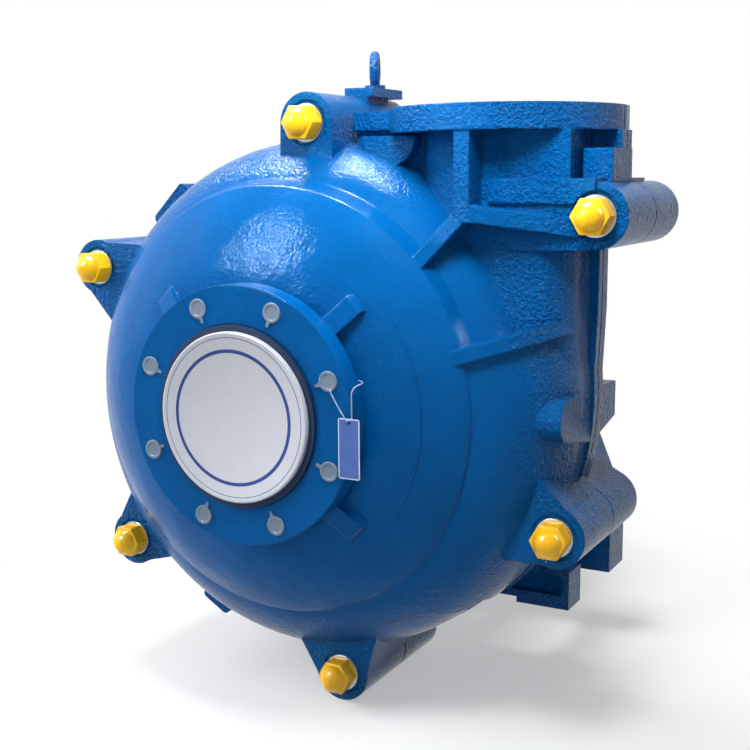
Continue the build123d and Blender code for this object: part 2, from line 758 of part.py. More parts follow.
def top_ear():
    """Ear of the discharge flange by the top lug, the wall under the flange and the half-round pad on it."""
    flange_z = DISCHARGE_TOP - DISCHARGE_FLANGE_THICK
    left = DISCHARGE_X - DISCHARGE_FLANGE_DIA / 2 - 35
    ear = block(left, DISCHARGE_X - 90, 205.0, COVER_END, flange_z + 5, DISCHARGE_TOP - 3)
    web = block(left, DISCHARGE_X, NECK_WEB_FRONT, COVER_END, 250.0, flange_z + 6)
    pad = slab(Pos(DISCHARGE_X - 136, flange_z - 3) * Circle(41.0), 194.0, COVER_END)
    return ear + web + (pad & block(left, DISCHARGE_X, 150.0, PARTING, flange_z - 60, flange_z - 3))


def cover_land():
    """Ring inside the cover that the throatbush and the volute liner seat on."""
    inner = LINER_OPENING_R - LAND_OVERLAP
    outer = inner + LAND_WIDTH
    return pipe(outer, inner, DOME_START + 26, LINER_FRONT)


def intake_hole_points():
    """Bolt holes of the intake flange, straddling the upright centre line."""
    return ring_points(INTAKE_BOLT_CIRCLE / 2, INTAKE_HOLES, 180.0 / INTAKE_HOLES)


# Frame plate: the rear half of the casing


def frame_ribs():
    """Webs on the back of the frame plate, from the base flange out to the lugs."""
    side = outline(
        (BASE_FLANGE_R + 4, FRAME_BACK - 2),
        (FRAME_BODY_R - 14, FRAME_BOWL_STATION + 10),
        (FRAME_BODY_R - 14, FRAME_BOWL_STATION + 36),
        (FRAME_SHOULDER_R - 30, FRAME_BACK - 1),
    )
    web = Pos(0, 0, -FRAME_RIB_WIDTH / 2) * extrude(side, FRAME_RIB_WIDTH)
    angles = list(SIDE_BOLT_ANGLES) + [TOP_BOLT_DEG, NECK_BOLT_DEG]
    return [Rot(0, a - 90.0, 0) * web for a in angles]


def eyebolt_shelf():
    """Thin shelf on the top lug that the eyebolt screws into."""
    low = SHELF_TOP_Z - SHELF_THICK
    boss = block(EYE_X - 14, EYE_X + 14, FRAME_START, EYE_STATION + 14, low - 24, SHELF_TOP_Z - 1)
    return block(EYE_X - 22, EYE_X + 24, FRAME_START, FRAME_START + SHELF_LENGTH, low, SHELF_TOP_Z) + boss


def frame_plate():
    """Rear half of the casing with its lugs, neck half and stuffing box bore."""
    flange_z = DISCHARGE_TOP - DISCHARGE_FLANGE_THICK
    body = frame_body(0)
    body += side_lugs(FRAME_START, LUG_BACK, LUG_BACK_ROOT_HALF)
    nx, nz = at_angle(NECK_BOLT_R, NECK_BOLT_DEG)
    arm = outline((DISCHARGE_X, ARM_LOW_Z), (nx, nz - LUG_R), (nx, STRIP_HIGH_Z), (DISCHARGE_X, STRIP_HIGH_Z))
    body += slab(arm, FRAME_START, LUG_BACK - 25) + bar(nx, nz, LUG_R, FRAME_START, LUG_BACK)
    body += neck_half(NECK_OUTER_R, NECK_FOOT_Z, DISCHARGE_TOP, FRAME_START, 2 * PARTING)
    body += neck_half(DISCHARGE_FLANGE_DIA / 2, flange_z, DISCHARGE_TOP, FRAME_START, 2 * PARTING)
    body += neck_parting(FRAME_START, FRAME_START + FRAME_RIM_DEPTH)
    body += rim(BODY_R + RIM_PROUD, FRAME_START, FRAME_START + FRAME_RIM_DEPTH)
    body += frame_neck_side()
    body += jack_lugs(FRAME_START, FRAME_START + JACK_LUG_LENGTH)
    body += side_lug_back()
    body += frame_ribs()
    body += eyebolt_shelf()
    body -= frame_body(FRAME_PLATE_WALL)
    body -= post(DISCHARGE_X, PARTING, NECK_BORE_R, NECK_FOOT_Z - 60, DISCHARGE_TOP + 1)
    body -= bar(0, 0, BOX_PILOT_R + FIT_GAP, LINER_BACK - 20, FRAME_BACK + 1)
    body -= bar(0, 0, BOX_FLANGE_R + FIT_GAP, LINER_BACK - 20, LINER_BACK + BOX_FLANGE_THICK)
    body -= bolt_holes(FRAME_START - 1, LUG_BACK + 30)
    body -= [bar(x, z, SPOTFACE_R, LUG_BACK - SPOTFACE_DEPTH, LUG_BACK + 80) for x, z in cover_bolt_points()]
    body -= discharge_holes()
    body -= [bar(x, z, BASE_STUD_DIA / 2, FRAME_BACK - 16, FRAME_BACK + 1) for x, z in base_stud_points()]
    body -= post(EYE_X, EYE_STATION, EYE_WIRE_DIA / 2, SHELF_TOP_Z - 22, SHELF_TOP_Z + 1)
    return body


# Liners


def volute_face(inset):
    """Spiral outline that grows anticlockwise from the cutwater, closed across the neck."""
    steps = 10
    points = []
    for i in range(steps + 1):
        share = i / steps
        radius = VOLUTE_START_R + (VOLUTE_END_R - VOLUTE_START_R) * share - inset
        points.append(at_angle(radius, CUTWATER_DEG - VOLUTE_SWEEP_DEG * share))
    spiral = Spline(*points)
    return make_face(spiral + Line(points[-1], points[0]))


def volute_liner():
    """Wear liner: spiral chamber with a side opening each way and an upright outlet."""
    outer = slab(volute_face(0), LINER_FRONT, LINER_BACK)
    outer = chamfer(long_edges(outer), LINER_CORNER)
    inner = slab(volute_face(LINER_WALL), LINER_FRONT + LINER_WALL, LINER_BACK - LINER_WALL)
    inner = chamfer(long_edges(inner), LINER_CORNER - 8)
    top = DISCHARGE_TOP - DISCHARGE_RING_DEPTH
    body = outer + post(DISCHARGE_X, PARTING, DISCHARGE_BORE / 2 + LINER_NECK_WALL, NECK_FOOT_Z, top)
    body -= inner
    body -= post(DISCHARGE_X, PARTING, DISCHARGE_BORE / 2, NECK_FOOT_Z - 10, top + 1)
    body -= bar(0, 0, LINER_OPENING_R, LINER_FRONT - 1, LINER_BACK + 1)
    return body


def long_edges(solid):
    """Rim edges of the spiral on both sides."""
    edges = solid.edges().filter_by(GeomType.BSPLINE)
    return edges.sort_by(SortBy.LENGTH)[-2:]


def throatbush():
    """Intake liner: a neck through the cover and a wear face before the impeller."""
    face_end = LINER_FRONT + THROAT_FACE_THICK
    start = JOINT_RING_DEPTH
    body = pipe(THROAT_NECK_R, INTAKE_PIPE_BORE / 2, start, face_end)
    body += pipe(LINER_OPENING_R - FIT_GAP, INTAKE_PIPE_BORE / 2, LINER_FRONT, face_end)
    cone = make_face(
        Polyline(
            (THROAT_NECK_R - 1, LINER_FRONT - 60),
            (LINER_OPENING_R - LAND_OVERLAP - FIT_GAP, LINER_FRONT),
            (THROAT_NECK_R - 1, LINER_FRONT),
            close=True,
        )
    )
    return body + turned(cone)


def frame_plate_liner_insert():
    """Rear wear disc round the impeller's hub."""
    return pipe(LINER_OPENING_R - FIT_GAP, INSERT_BORE_R, LINER_BACK - INSERT_THICK, LINER_BACK)


def intake_joint_ring():
    """Rubber ring that seals the intake pipe to the throatbush."""
    return pipe(THROAT_NECK_R, THROAT_NECK_R - JOINT_RING_WIDTH, -JOINT_RING_PROUD, JOINT_RING_DEPTH)


def discharge_joint_ring():
    """Rubber ring on top of the volute liner's outlet."""
    low = DISCHARGE_TOP - DISCHARGE_RING_DEPTH
    high = DISCHARGE_TOP + DISCHARGE_RING_PROUD
    outer = post(DISCHARGE_X, PARTING, NECK_BORE_R - FIT_GAP, low, high)
    return outer - post(DISCHARGE_X, PARTING, DISCHARGE_BORE / 2, low - 1, high + 1)


# Impeller


def vane():
    """One backward-curved vane between the shrouds."""
    steps = 6
    lead = []
    trail = []
    for i in range(steps + 1):
        share = i / steps
        radius = VANE_INLET_R + (IMPELLER_R - 1 - VANE_INLET_R) * share
        angle = VANE_WRAP_DEG * share
        half = math.degrees(VANE_THICK / 2 / radius)
        lead.append(at_angle(radius, angle + half))
        trail.append(at_angle(radius, angle - half))
    edges = Spline(*lead) + Line(lead[-1], trail[-1]) + Spline(*reversed(trail)) + Line(trail[0], lead[0])
    return slab(make_face(edges), IMPELLER_FRONT + SHROUD_THICK - 1, IMPELLER_BACK - SHROUD_THICK + 1)


def impeller():
    """Closed impeller with curved vanes, screwed onto the shaft's nose."""
    body = pipe(IMPELLER_R, EYE_R, IMPELLER_FRONT, IMPELLER_FRONT + SHROUD_THICK)
    hub = turned(
        outline(
            (0, IMPELLER_FRONT + 60),
            (26, IMPELLER_FRONT + 68),
            (IMPELLER_HUB_R, IMPELLER_BACK - SHROUD_THICK),
            (IMPELLER_R, IMPELLER_BACK - SHROUD_THICK),
            (IMPELLER_R, IMPELLER_BACK),
            (IMPELLER_HUB_R, IMPELLER_BACK),
            (IMPELLER_HUB_R, IMPELLER_HUB_BACK),
            (0, IMPELLER_HUB_BACK),
        )
    )
    body += hub
    body += [Rot(0, 360.0 * i / VANES, 0) * vane() for i in range(VANES)]
    return body - bar(0, 0, SHAFT_NOSE_R, SHAFT_NOSE_START, IMPELLER_HUB_BACK + 1)


# Shaft line


def shaft():
    """Stepped shaft from the impeller's nose to the coupling end, with its keyway."""
    rear_seat_end = REAR_BEARING + BEARING_WIDTH + LOCKNUT_LENGTH
    body = bar(0, 0, SHAFT_NOSE_R, SHAFT_NOSE_START, IMPELLER_HUB_BACK + 1)
    body += bar(0, 0, SLEEVE_BORE_R, IMPELLER_HUB_BACK, FRONT_BEARING)
    body += bar(0, 0, BEARING_SEAT_R, FRONT_BEARING - 1, FRONT_BEARING + BEARING_WIDTH)
    body += bar(0, 0, SHAFT_MIDDLE_R, FRONT_BEARING + BEARING_WIDTH, REAR_BEARING)
    body += bar(0, 0, BEARING_SEAT_R, REAR_BEARING, rear_seat_end)
    body += bar(0, 0, SLEEVE_BORE_R, rear_seat_end - 1, SHAFT_END - COUPLING_SEAT_LENGTH)
    body += bar(0, 0, COUPLING_SEAT_R, SHAFT_END - COUPLING_SEAT_LENGTH - 1, SHAFT_END)
    end = SHAFT_END - (COUPLING_SEAT_LENGTH - KEYWAY_LENGTH) / 2
    start = end - KEYWAY_LENGTH
    half = KEYWAY_WIDTH / 2
    slot = block(-half, half, start, end, COUPLING_SEAT_R - KEYWAY_DEPTH, COUPLING_SEAT_R + 1)
    return body - Rot(0, KEYWAY_TURN_DEG, 0) * slot


def shaft_sleeve():
    """Hard sleeve on the shaft under the packing."""
    return pipe(SLEEVE_R, SLEEVE_BORE_R, IMPELLER_HUB_BACK, SLEEVE_END)


def shaft_spacer():
    """Spacer between the sleeve and the labyrinth."""
    return pipe(SLEEVE_R - 4, SLEEVE_BORE_R, SLEEVE_END, HOUSING_START - END_COVER_THICK - LABYRINTH_PROUD)


def bearing_locknut():
    """Slotted nut that holds the drive end bearing on its seat."""
    start = REAR_BEARING + BEARING_WIDTH
    body = pipe(LOCKNUT_R, BEARING_SEAT_R, start, start + LOCKNUT_LENGTH)
    slots = [block(-5, 5, start - 1, start + LOCKNUT_LENGTH + 1, LOCKNUT_R - 6, LOCKNUT_R + 6)]
    return body - [Rot(0, 90.0 * i, 0) * slots[0] for i in range(4)]


def bearing_rings(start):
    """Outer ring and inner ring of a roller bearing."""
    outer = pipe(BEARING_R, BEARING_R - RING_THICK, start, start + BEARING_WIDTH)
    inner = pipe(BEARING_SEAT_R + RING_THICK, BEARING_SEAT_R, start, start + BEARING_WIDTH)
    return outer, inner


def rollers(start):
    """Rollers of one bearing."""
    pitch = pitch_radius()
    return [bar(x, z, ROLLER_R, start + 8, start + BEARING_WIDTH - 8) for x, z in ring_points(pitch, ROLLERS)]


def pitch_radius():
    """Radius of the circle that the rollers run on."""
    return (BEARING_R - RING_THICK + BEARING_SEAT_R + RING_THICK) / 2


def cage(start):
    """Ring that keeps one bearing's rollers apart."""
    pitch = pitch_radius()
    body = pipe(pitch + 5, pitch - 5, start + 3, start + BEARING_WIDTH - 3)
    end = start + BEARING_WIDTH - 7
    pockets = [bar(x, z, ROLLER_R + ROLLER_GAP, start + 7, end) for x, z in ring_points(pitch, ROLLERS)]
    return body - pockets


# Bearing assembly


def bearing_housing():
    """Barrel with an end flange each way and two sliding feet."""
    half_rail = CLAMP_BOLT_X + CLAMP_WASHER_R + 6
    body = bar(0, 0, HOUSING_R, HOUSING_START, HOUSING_END)
    body += bar(0, 0, HOUSING_FLANGE_R, HOUSING_START, HOUSING_START + HOUSING_FLANGE_THICK)
    body += bar(0, 0, HOUSING_FLANGE_R, HOUSING_END - HOUSING_FLANGE_THICK, HOUSING_END)
    foot_start = HOUSING_START + 6
    foot_end = BASE_END - 6
    body += block(-half_rail, half_rail, foot_start, foot_end, PAD_Z, PAD_Z + RAIL_THICK)
    body += block(-HOUSING_R + 20, HOUSING_R - 20, foot_start, foot_end, PAD_Z, -60)
    body -= block(-CRADLE_X + PAD_HALF, CRADLE_X - PAD_HALF, foot_start - 1, foot_end + 1, PAD_Z - 1, PAD_Z + 14)
    lug_start = adjust_lug_start()
    body += block(-24, 24, lug_start, lug_start + ADJUST_LUG_THICK, ADJUST_SCREW_Z - 26, PAD_Z + 20)
    for station in clamp_stations():
        for side in (-1, 1):
            slot = Pos(side * CLAMP_BOLT_X, station, PAD_Z + RAIL_THICK / 2)
            straight = slot * Box(CLAMP_BOLT_DIA + 2, RAIL_SLOT_TRAVEL, RAIL_THICK + 2)
            body -= straight
            for end in (-1, 1):
                body -= post(
                    side * CLAMP_BOLT_X,
                    station + end * RAIL_SLOT_TRAVEL / 2,
                    CLAMP_BOLT_DIA / 2 + 1,
                    PAD_Z - 1,
                    PAD_Z + RAIL_THICK + 1,
                )
    body -= bar(0, 0, HOUSING_R - HOUSING_WALL - 20, HOUSING_START - 1, HOUSING_END + 1)
    body -= bar(0, 0, BEARING_R, HOUSING_START - 1, FRONT_BEARING + BEARING_WIDTH)
    body -= bar(0, 0, BEARING_R, REAR_BEARING, HOUSING_END + 1)
    body -= bar(0, ADJUST_SCREW_Z, ADJUST_SCREW_DIA / 2 + 1.5, adjust_lug_start() - 1, BASE_END)
    for x, z in end_cover_bolt_points():
        body -= bar(x, z, HOUSING_BOLT_DIA / 2, HOUSING_START - 1, HOUSING_START + 18)
        body -= bar(x, z, HOUSING_BOLT_DIA / 2, HOUSING_END - 18, HOUSING_END + 1)
    for station in grease_stations():
        body -= post(0, station, 5.0, HOUSING_R - 10, HOUSING_R + 20)
    return body


def adjust_lug_start():
    """Station of the housing's lug on the adjusting screw."""
    return BASE_END - ADJUST_LUG_INSET


def clamp_stations():
    """Stations of the two pairs of clamp bolts."""
    return (HOUSING_START + CLAMP_INSET, BASE_END - CLAMP_INSET)


def grease_stations():
    """Stations of the grease nipples, over the bearings."""
    return (FRONT_BEARING + BEARING_WIDTH / 2, REAR_BEARING + BEARING_WIDTH / 2)


def end_cover_bolt_points():
    """Bolt circle of the housing's end covers."""
    return ring_points(HOUSING_BOLT_CIRCLE_R, HOUSING_BOLTS)


def end_cover(face, inward):
    """End cover: a plate outside the housing and a spigot that holds the outer ring."""
    outer = face - inward * END_COVER_THICK
    spigot = face + inward * BEARING_INSET
    body = pipe(HOUSING_FLANGE_R, LABYRINTH_R + FIT_GAP, min(face, outer), max(face, outer))
    body += pipe(BEARING_R - FIT_GAP, LABYRINTH_R + FIT_GAP, min(face, spigot), max(face, spigot))
    low = min(face, outer) - 1
    radius = HOUSING_BOLT_DIA / 2 + 1
    high = low + END_COVER_THICK + 2
    return body - [bar(x, z, radius, low, high) for x, z in end_cover_bolt_points()]


def hex_bolt(x, z, dia, across, height, seat, tail, inward):
    """Hexagon bolt with its head outside the seat station."""
    flat = Pos(x, z) * RegularPolygon(across / 2, 6, major_radius=False)
    top = seat - inward * height
    head = slab(flat, min(seat, top), max(seat, top))
    return head + bar(x, z, dia / 2, min(seat, tail), max(seat, tail))


def end_cover_bolts():
    """Bolts of both end covers."""
    shapes = []
    for x, z in end_cover_bolt_points():
        near = HOUSING_START - END_COVER_THICK
        far = HOUSING_END + END_COVER_THICK
        shapes.append(hex_bolt(x, z, HOUSING_BOLT_DIA - SEAT_GAP, 19.0, 8.0, near, HOUSING_START + 16, 1))
        shapes.append(hex_bolt(x, z, HOUSING_BOLT_DIA - SEAT_GAP, 19.0, 8.0, far, HOUSING_END - 16, -1))
    return shapes


def labyrinth(face, inward):
    """Grooved ring on the shaft that runs inside an end cover."""
    start = face - inward * (END_COVER_THICK + LABYRINTH_PROUD)
    end = start + inward * LABYRINTH_LENGTH
    low = min(start, end)
    body = pipe(LABYRINTH_R - 1.0, SLEEVE_BORE_R, low, low + LABYRINTH_LENGTH)
    for i in range(3):
        groove = low + 4 + 6 * i
        body -= pipe(LABYRINTH_R + 1, LABYRINTH_R - 5, groove, groove + 3)
    return body


def grease_nipples():
    """Two grease nipples on top of the housing."""
    shapes = []
    for station in grease_stations():
        stem = post(0, station, 5.0 - SEAT_GAP / 2, HOUSING_R - 8, HOUSING_R + 4)
        cone = Pos(0, station, HOUSING_R + 4) * Cone(6.5, 3.5, 10, align=(Align.CENTER, Align.CENTER, Align.MIN))
        shapes.append(stem + cone)
    return shapes


# Base frame


def base_frame():
    """Cast base: front flange, wide feet, a hollow rear pedestal and the cradle for the bearings."""
    half = BASE_WIDTH / 2
    flange_end = BASE_START + BASE_FLANGE_THICK
    foot_top = FOOT_Z + FOOT_HEIGHT
    body = bar(0, 0, BASE_FLANGE_R, BASE_START, flange_end)
    wall = outline(
        (-FRONT_WALL_FOOT_X, FOOT_Z),
        (FRONT_WALL_FOOT_X, FOOT_Z),
        (BASE_FLANGE_R - 6, SIDE_WALL_TOP_Z),
        (-BASE_FLANGE_R + 6, SIDE_WALL_TOP_Z),
    )
    body += slab(wall, BASE_START, flange_end)
    body += block(-half, half, BASE_START, BASE_START + FRONT_FOOT_LENGTH, FOOT_Z, foot_top)
    body += base_side_walls()
    body += rear_pedestal()
    body += cradle_walls()
    body -= foot_recess()
    body -= foot_pockets()
    body -= bar(0, 0, BASE_FLANGE_BORE_R, BASE_START - 1, flange_end + 1)
    body -= bar(0, 0, BASE_FLANGE_BORE_R - 20, BASE_START - 1, HOUSING_START - 8)
    body -= [bar(x, z, BASE_STUD_DIA / 2 + 1, BASE_START - 1, flange_end + 1) for x, z in base_stud_points()]
    for x in (-FOOT_HOLE_SPACING_X / 2, FOOT_HOLE_SPACING_X / 2):
        for station in (FRONT_HOLE_STATION, REAR_HOLE_STATION):
            body -= post(x, station, FOOT_HOLE_DIA / 2, FOOT_Z - 1, foot_top + 1)
    for station in clamp_stations():
        for side in (-1, 1):
            body -= post(side * CLAMP_BOLT_X, station, CLAMP_BOLT_DIA / 2, PAD_Z - PAD_THICK - 1, PAD_Z + 1)
    body -= bar(0, ADJUST_SCREW_Z, ADJUST_SCREW_DIA / 2, BASE_END - BASE_LUG_THICK - 1, BASE_END + 1)
    return body


def base_side_walls():
    """Side walls that fall from the front flange to the rear pedestal."""
    inner = FRONT_WALL_FOOT_X - 2 * FOOT_WALL
    side = outline(
        (BASE_START, FOOT_Z),
        (REAR_FOOT_START + 10, FOOT_Z),
        (REAR_FOOT_START + 10, PEDESTAL_KNEE_Z),
        (BASE_START + BASE_FLANGE_THICK, PEDESTAL_KNEE_Z + 90),
        (BASE_START, PEDESTAL_KNEE_Z + 90),
    )
    opening = outline(
        (BASE_START + FRONT_FOOT_LENGTH + 16, FOOT_Z - 1),
        (REAR_FOOT_START - 14, FOOT_Z - 1),
        (REAR_FOOT_START - 30, FOOT_Z + 46),
        (BASE_START + FRONT_FOOT_LENGTH + 32, FOOT_Z + 46),
    )
    sideways = Plane(origin=(0, 0, 0), x_dir=(0, 1, 0), z_dir=(1, 0, 0))
    wall = extrude(sideways * (side - opening), FOOT_WALL)
    return [Pos(inner, 0, 0) * wall, Pos(-inner - FOOT_WALL, 0, 0) * wall]


def pedestal_outline(inset):
    """Front view of the rear pedestal, drawn in from its outer edges."""
    half = BASE_WIDTH / 2 - inset
    top = PEDESTAL_TOP_Z - inset
    return outline(
        (-half, FOOT_Z - 1 if inset else FOOT_Z),
        (half, FOOT_Z - 1 if inset else FOOT_Z),
        (half, PEDESTAL_KNEE_Z),
        (PEDESTAL_TOP_X - inset, top),
        (-PEDESTAL_TOP_X + inset, top),
        (-half, PEDESTAL_KNEE_Z),
    )


def rear_pedestal():
    """Rear pedestal, hollow from behind, notched for the bearing housing, with a foot each side."""
    notch = CLAMP_BOLT_X + CLAMP_WASHER_R + 14
    body = slab(pedestal_outline(0), REAR_FOOT_START, REAR_FOOT_END)
    body -= slab(pedestal_outline(FOOT_WALL), REAR_FOOT_START + FOOT_WALL, REAR_FOOT_END + 1)
    body -= block(-notch, notch, REAR_FOOT_START - 1, REAR_FOOT_END + 1, PAD_Z - 4, PEDESTAL_TOP_Z + 1)
    inner = BASE_WIDTH / 2 - FOOT_PAD_WIDTH
    pad = Pos(0, FOOT_Z + FOOT_PAD_THICK / 2) * Rectangle(BASE_WIDTH, FOOT_PAD_THICK)
    feet = slab(pad, REAR_FOOT_START, REAR_FOOT_END)
    return body + (feet - block(-inner, inner, REAR_FOOT_START - 1, REAR_FOOT_END + 1, FOOT_Z - 1, FOOT_Z + 60))


def foot_recess():
    """Shallow recess in the front of the front foot, above its bottom edge."""
    low = FOOT_Z + FOOT_EDGE_HEIGHT
    high = FOOT_Z + FOOT_HEIGHT
    face = Pos(0, (low + high) / 2) * RectangleRounded(BASE_WIDTH - 2 * FOOT_END_RIM, high - low - 6, 12.0)
    return slab(face, BASE_START - 1, BASE_START + FOOT_RECESS)


def cradle_walls():
    """Two long walls with machined pads, ending in the lug for the adjusting screw."""
    side = outline(
        (BASE_START + 4, FOOT_Z + 6),
        (REAR_FOOT_END, FOOT_Z + 6),
        (BASE_END, PAD_Z - BASE_LUG_DROP),
        (BASE_END, PAD_Z - PAD_THICK + 2),
        (HOUSING_START - 4, PAD_Z - PAD_THICK + 2),
        (HOUSING_START - 70, PAD_Z + 30),
        (BASE_START + 4, PAD_Z + 30),
    )
    sideways = Plane(origin=(0, 0, 0), x_dir=(0, 1, 0), z_dir=(1, 0, 0))
    wall = extrude(sideways * side, CRADLE_WALL)
    body = Part() + [Pos(s * CRADLE_X - CRADLE_WALL / 2, 0, 0) * wall for s in (-1, 1)]
    outer = CLAMP_BOLT_X + CLAMP_WASHER_R + 8
    inner = CRADLE_X - PAD_HALF
    for s in (-1, 1):
        x0, x1 = sorted((s * inner, s * outer))
        body += block(x0, x1, HOUSING_START - 4, BASE_END, PAD_Z - PAD_THICK, PAD_Z)
    low = PAD_Z - BASE_LUG_DROP
    high = PAD_Z - PAD_THICK + 1
    body += block(-CRADLE_X, CRADLE_X, BASE_END - BASE_LUG_THICK, BASE_END, low, high)
    body += block(-30, 30, BASE_END - BASE_LUG_THICK, BASE_END, low, PAD_Z - 8)
    body += block(-CRADLE_X, CRADLE_X, HOUSING_START - 24, HOUSING_START - 4, FOOT_Z + 6, high)
    return body


def foot_pockets():
    """Hollow under the front foot and the low arch between the feet."""
    low = FOOT_Z - 1
    inner = BASE_WIDTH / 2 - FOOT_PAD_WIDTH
    front_start = BASE_START + FOOT_RECESS + FOOT_WALL
    front_end = BASE_START + FRONT_FOOT_LENGTH + 1
    cuts = [block(-inner, inner, front_start, front_end, low, FOOT_Z + 42)]
    cuts.append(block(-inner, inner, BASE_START - 1, REAR_FOOT_END + 1, low, FOOT_Z + 9))
    return cuts


def base_stud_points():
    """Studs that hold the frame plate to the base."""
    return ring_points(BASE_STUD_CIRCLE_R, BASE_STUDS, 22.5)


# Stuffing box and gland


def stuffing_box():
    """Box for the packing: a flange behind the insert, a pilot and ears for the gland studs."""
    body = pipe(BOX_FLANGE_R, BOX_BORE_R, LINER_BACK, LINER_BACK + BOX_FLANGE_THICK)
    body += pipe(BOX_PILOT_R, BOX_BORE_R, LINER_BACK, FRAME_BACK + 12)
    body += pipe(BOX_BARREL_R, BOX_BORE_R, LINER_BACK, BOX_BACK)
    for side in (-1, 1):
        ear = bar(side * GLAND_STUD_X, 0, GLAND_EAR_R, BOX_BACK - 30, BOX_BACK)
        body += ear
    body -= bar(0, 0, BOX_BORE_R, LINER_BACK - 1, BOX_BACK + 1)
    for side in (-1, 1):
        body -= bar(side * GLAND_STUD_X, 0, GLAND_STUD_DIA / 2, BOX_BACK - 24, BOX_BACK + 1)
    lip = pipe(BOX_BORE_R, SLEEVE_R + 2, LINER_BACK, LINER_BACK + BOX_FLANGE_THICK)
    return body + lip


def packing_start():
    """Station of the first packing ring."""
    return LINER_BACK + BOX_FLANGE_THICK + NECK_RING_LENGTH


def neck_ring():
    """Ring at the bottom of the box that keeps the packing from the insert."""
    start = LINER_BACK + BOX_FLANGE_THICK
    return pipe(BOX_BORE_R - SEAT_GAP, SLEEVE_R + 1, start, start + NECK_RING_LENGTH)


def lantern_ring():
    """Grooved ring that spreads the sealing water between packing rings."""
    start = packing_start() + PACKING_WIDTH
    body = pipe(BOX_BORE_R - SEAT_GAP, SLEEVE_R + 1, start, start + PACKING_WIDTH)
    body -= pipe(BOX_BORE_R + 1, BOX_BORE_R - 5, start + 6, start + PACKING_WIDTH - 6)
    return body - pipe(SLEEVE_R + 6, SLEEVE_R, start + 6, start + PACKING_WIDTH - 6)


def packing_rings():
    """Square packing rings, one before the lantern ring and the rest behind it."""
    shapes = []
    for i in range(PACKING_RINGS):
        slot = i if i == 0 else i + 1
        start = packing_start() + slot * PACKING_WIDTH
        shapes.append(pipe(BOX_BORE_R - SEAT_GAP, SLEEVE_R + FIT_GAP, start, start + PACKING_WIDTH - SEAT_GAP))
    return shapes


def packing_end():
    """Station where the packing stops and the gland's nose begins."""
    return packing_start() + (PACKING_RINGS + 1) * PACKING_WIDTH


def gland_seat():
    """Station of the face that the gland nuts press on."""
    return BOX_BACK + GLAND_BACK_GAP + GLAND_FLANGE_THICK


def gland_halves():
    """Gland, split upright through the middle, with a nose that enters the box."""
    flange = BOX_BACK + GLAND_BACK_GAP
    plate = Circle(BOX_BORE_R + 12) + Rectangle(2 * GLAND_STUD_X, 2 * GLAND_EAR_R)
    plate += [Pos(s * GLAND_STUD_X, 0) * Circle(GLAND_EAR_R) for s in (-1, 1)]
    body = slab(plate, flange, flange + GLAND_FLANGE_THICK)
    body += bar(0, 0, BOX_BORE_R - 1, packing_end() + FIT_GAP, flange + 1)
    body -= bar(0, 0, SLEEVE_R + 1.5, packing_end() - 1, flange + GLAND_FLANGE_THICK + 1)
    for side in (-1, 1):
        body -= bar(side * GLAND_STUD_X, 0, GLAND_STUD_DIA / 2 + 1, flange - 1, flange + GLAND_FLANGE_THICK + 1)
    gap = SEAT_GAP
    far = 2 * BOX_FLANGE_R
    left = body & block(-far, far, packing_end() - 2, flange + 40, gap / 2, far)
    right = body & block(-far, far, packing_end() - 2, flange + 40, -far, -gap / 2)
    return [left, right]


def gland_studs():
    """Studs that the gland slides along."""
    end = gland_seat() + GLAND_NUT_LENGTH + GLAND_TRAVEL + 8
    return [bar(s * GLAND_STUD_X, 0, GLAND_STUD_DIA / 2 - SEAT_GAP / 2, BOX_BACK - 23, end) for s in (-1, 1)]


def hex_nut(x, z, across, bore, start, length):
    """Hexagon nut on a bar parallel to the shaft."""
    flat = Pos(x, z) * RegularPolygon(across / 2, 6, major_radius=False)
    return slab(flat - Pos(x, z) * Circle(bore / 2), start, start + length)


def gland_nut(side):
    """Nut behind the gland on one side."""
    return hex_nut(side * GLAND_STUD_X, 0, 24.0, GLAND_STUD_DIA + 2 * RUN_GAP, gland_seat(), GLAND_NUT_LENGTH)


# Fasteners of the casing


def cover_plate_bolts():
    """Long bolts from the cover's lugs through to the frame plate's lugs."""
    seat = LUG_FRONT + SPOTFACE_DEPTH - COVER_WASHER_THICK
    tail = LUG_BACK - SPOTFACE_DEPTH + COVER_WASHER_THICK + COVER_NUT_HEIGHT + COVER_BOLT_TAIL
    head = (COVER_BOLT_DIA, COVER_HEAD_AF, COVER_HEAD_HEIGHT)
    return [hex_bolt(x, z, *head, seat, tail, 1) for x, z in cover_bolt_points()]


def cover_bolt_washers():
    """Washers under the bolt heads and under the nuts."""
    hole = COVER_BOLT_DIA / 2 + 0.5
    near = LUG_FRONT + SPOTFACE_DEPTH
    far = LUG_BACK - SPOTFACE_DEPTH
    ring = Circle(COVER_WASHER_R) - Circle(hole)
    shapes = []
    for x, z in cover_bolt_points():
        shapes.append(slab(Pos(x, z) * ring, near - COVER_WASHER_THICK, near))
        shapes.append(slab(Pos(x, z) * ring, far, far + COVER_WASHER_THICK))
    return shapes


def cover_plate_nuts():
    """Nuts behind the frame plate's lugs."""
    start = LUG_BACK - SPOTFACE_DEPTH + COVER_WASHER_THICK
    bore = COVER_BOLT_DIA + 2 * SEAT_GAP
    return [hex_nut(x, z, COVER_HEAD_AF, bore, start, COVER_NUT_HEIGHT) for x, z in cover_bolt_points()]


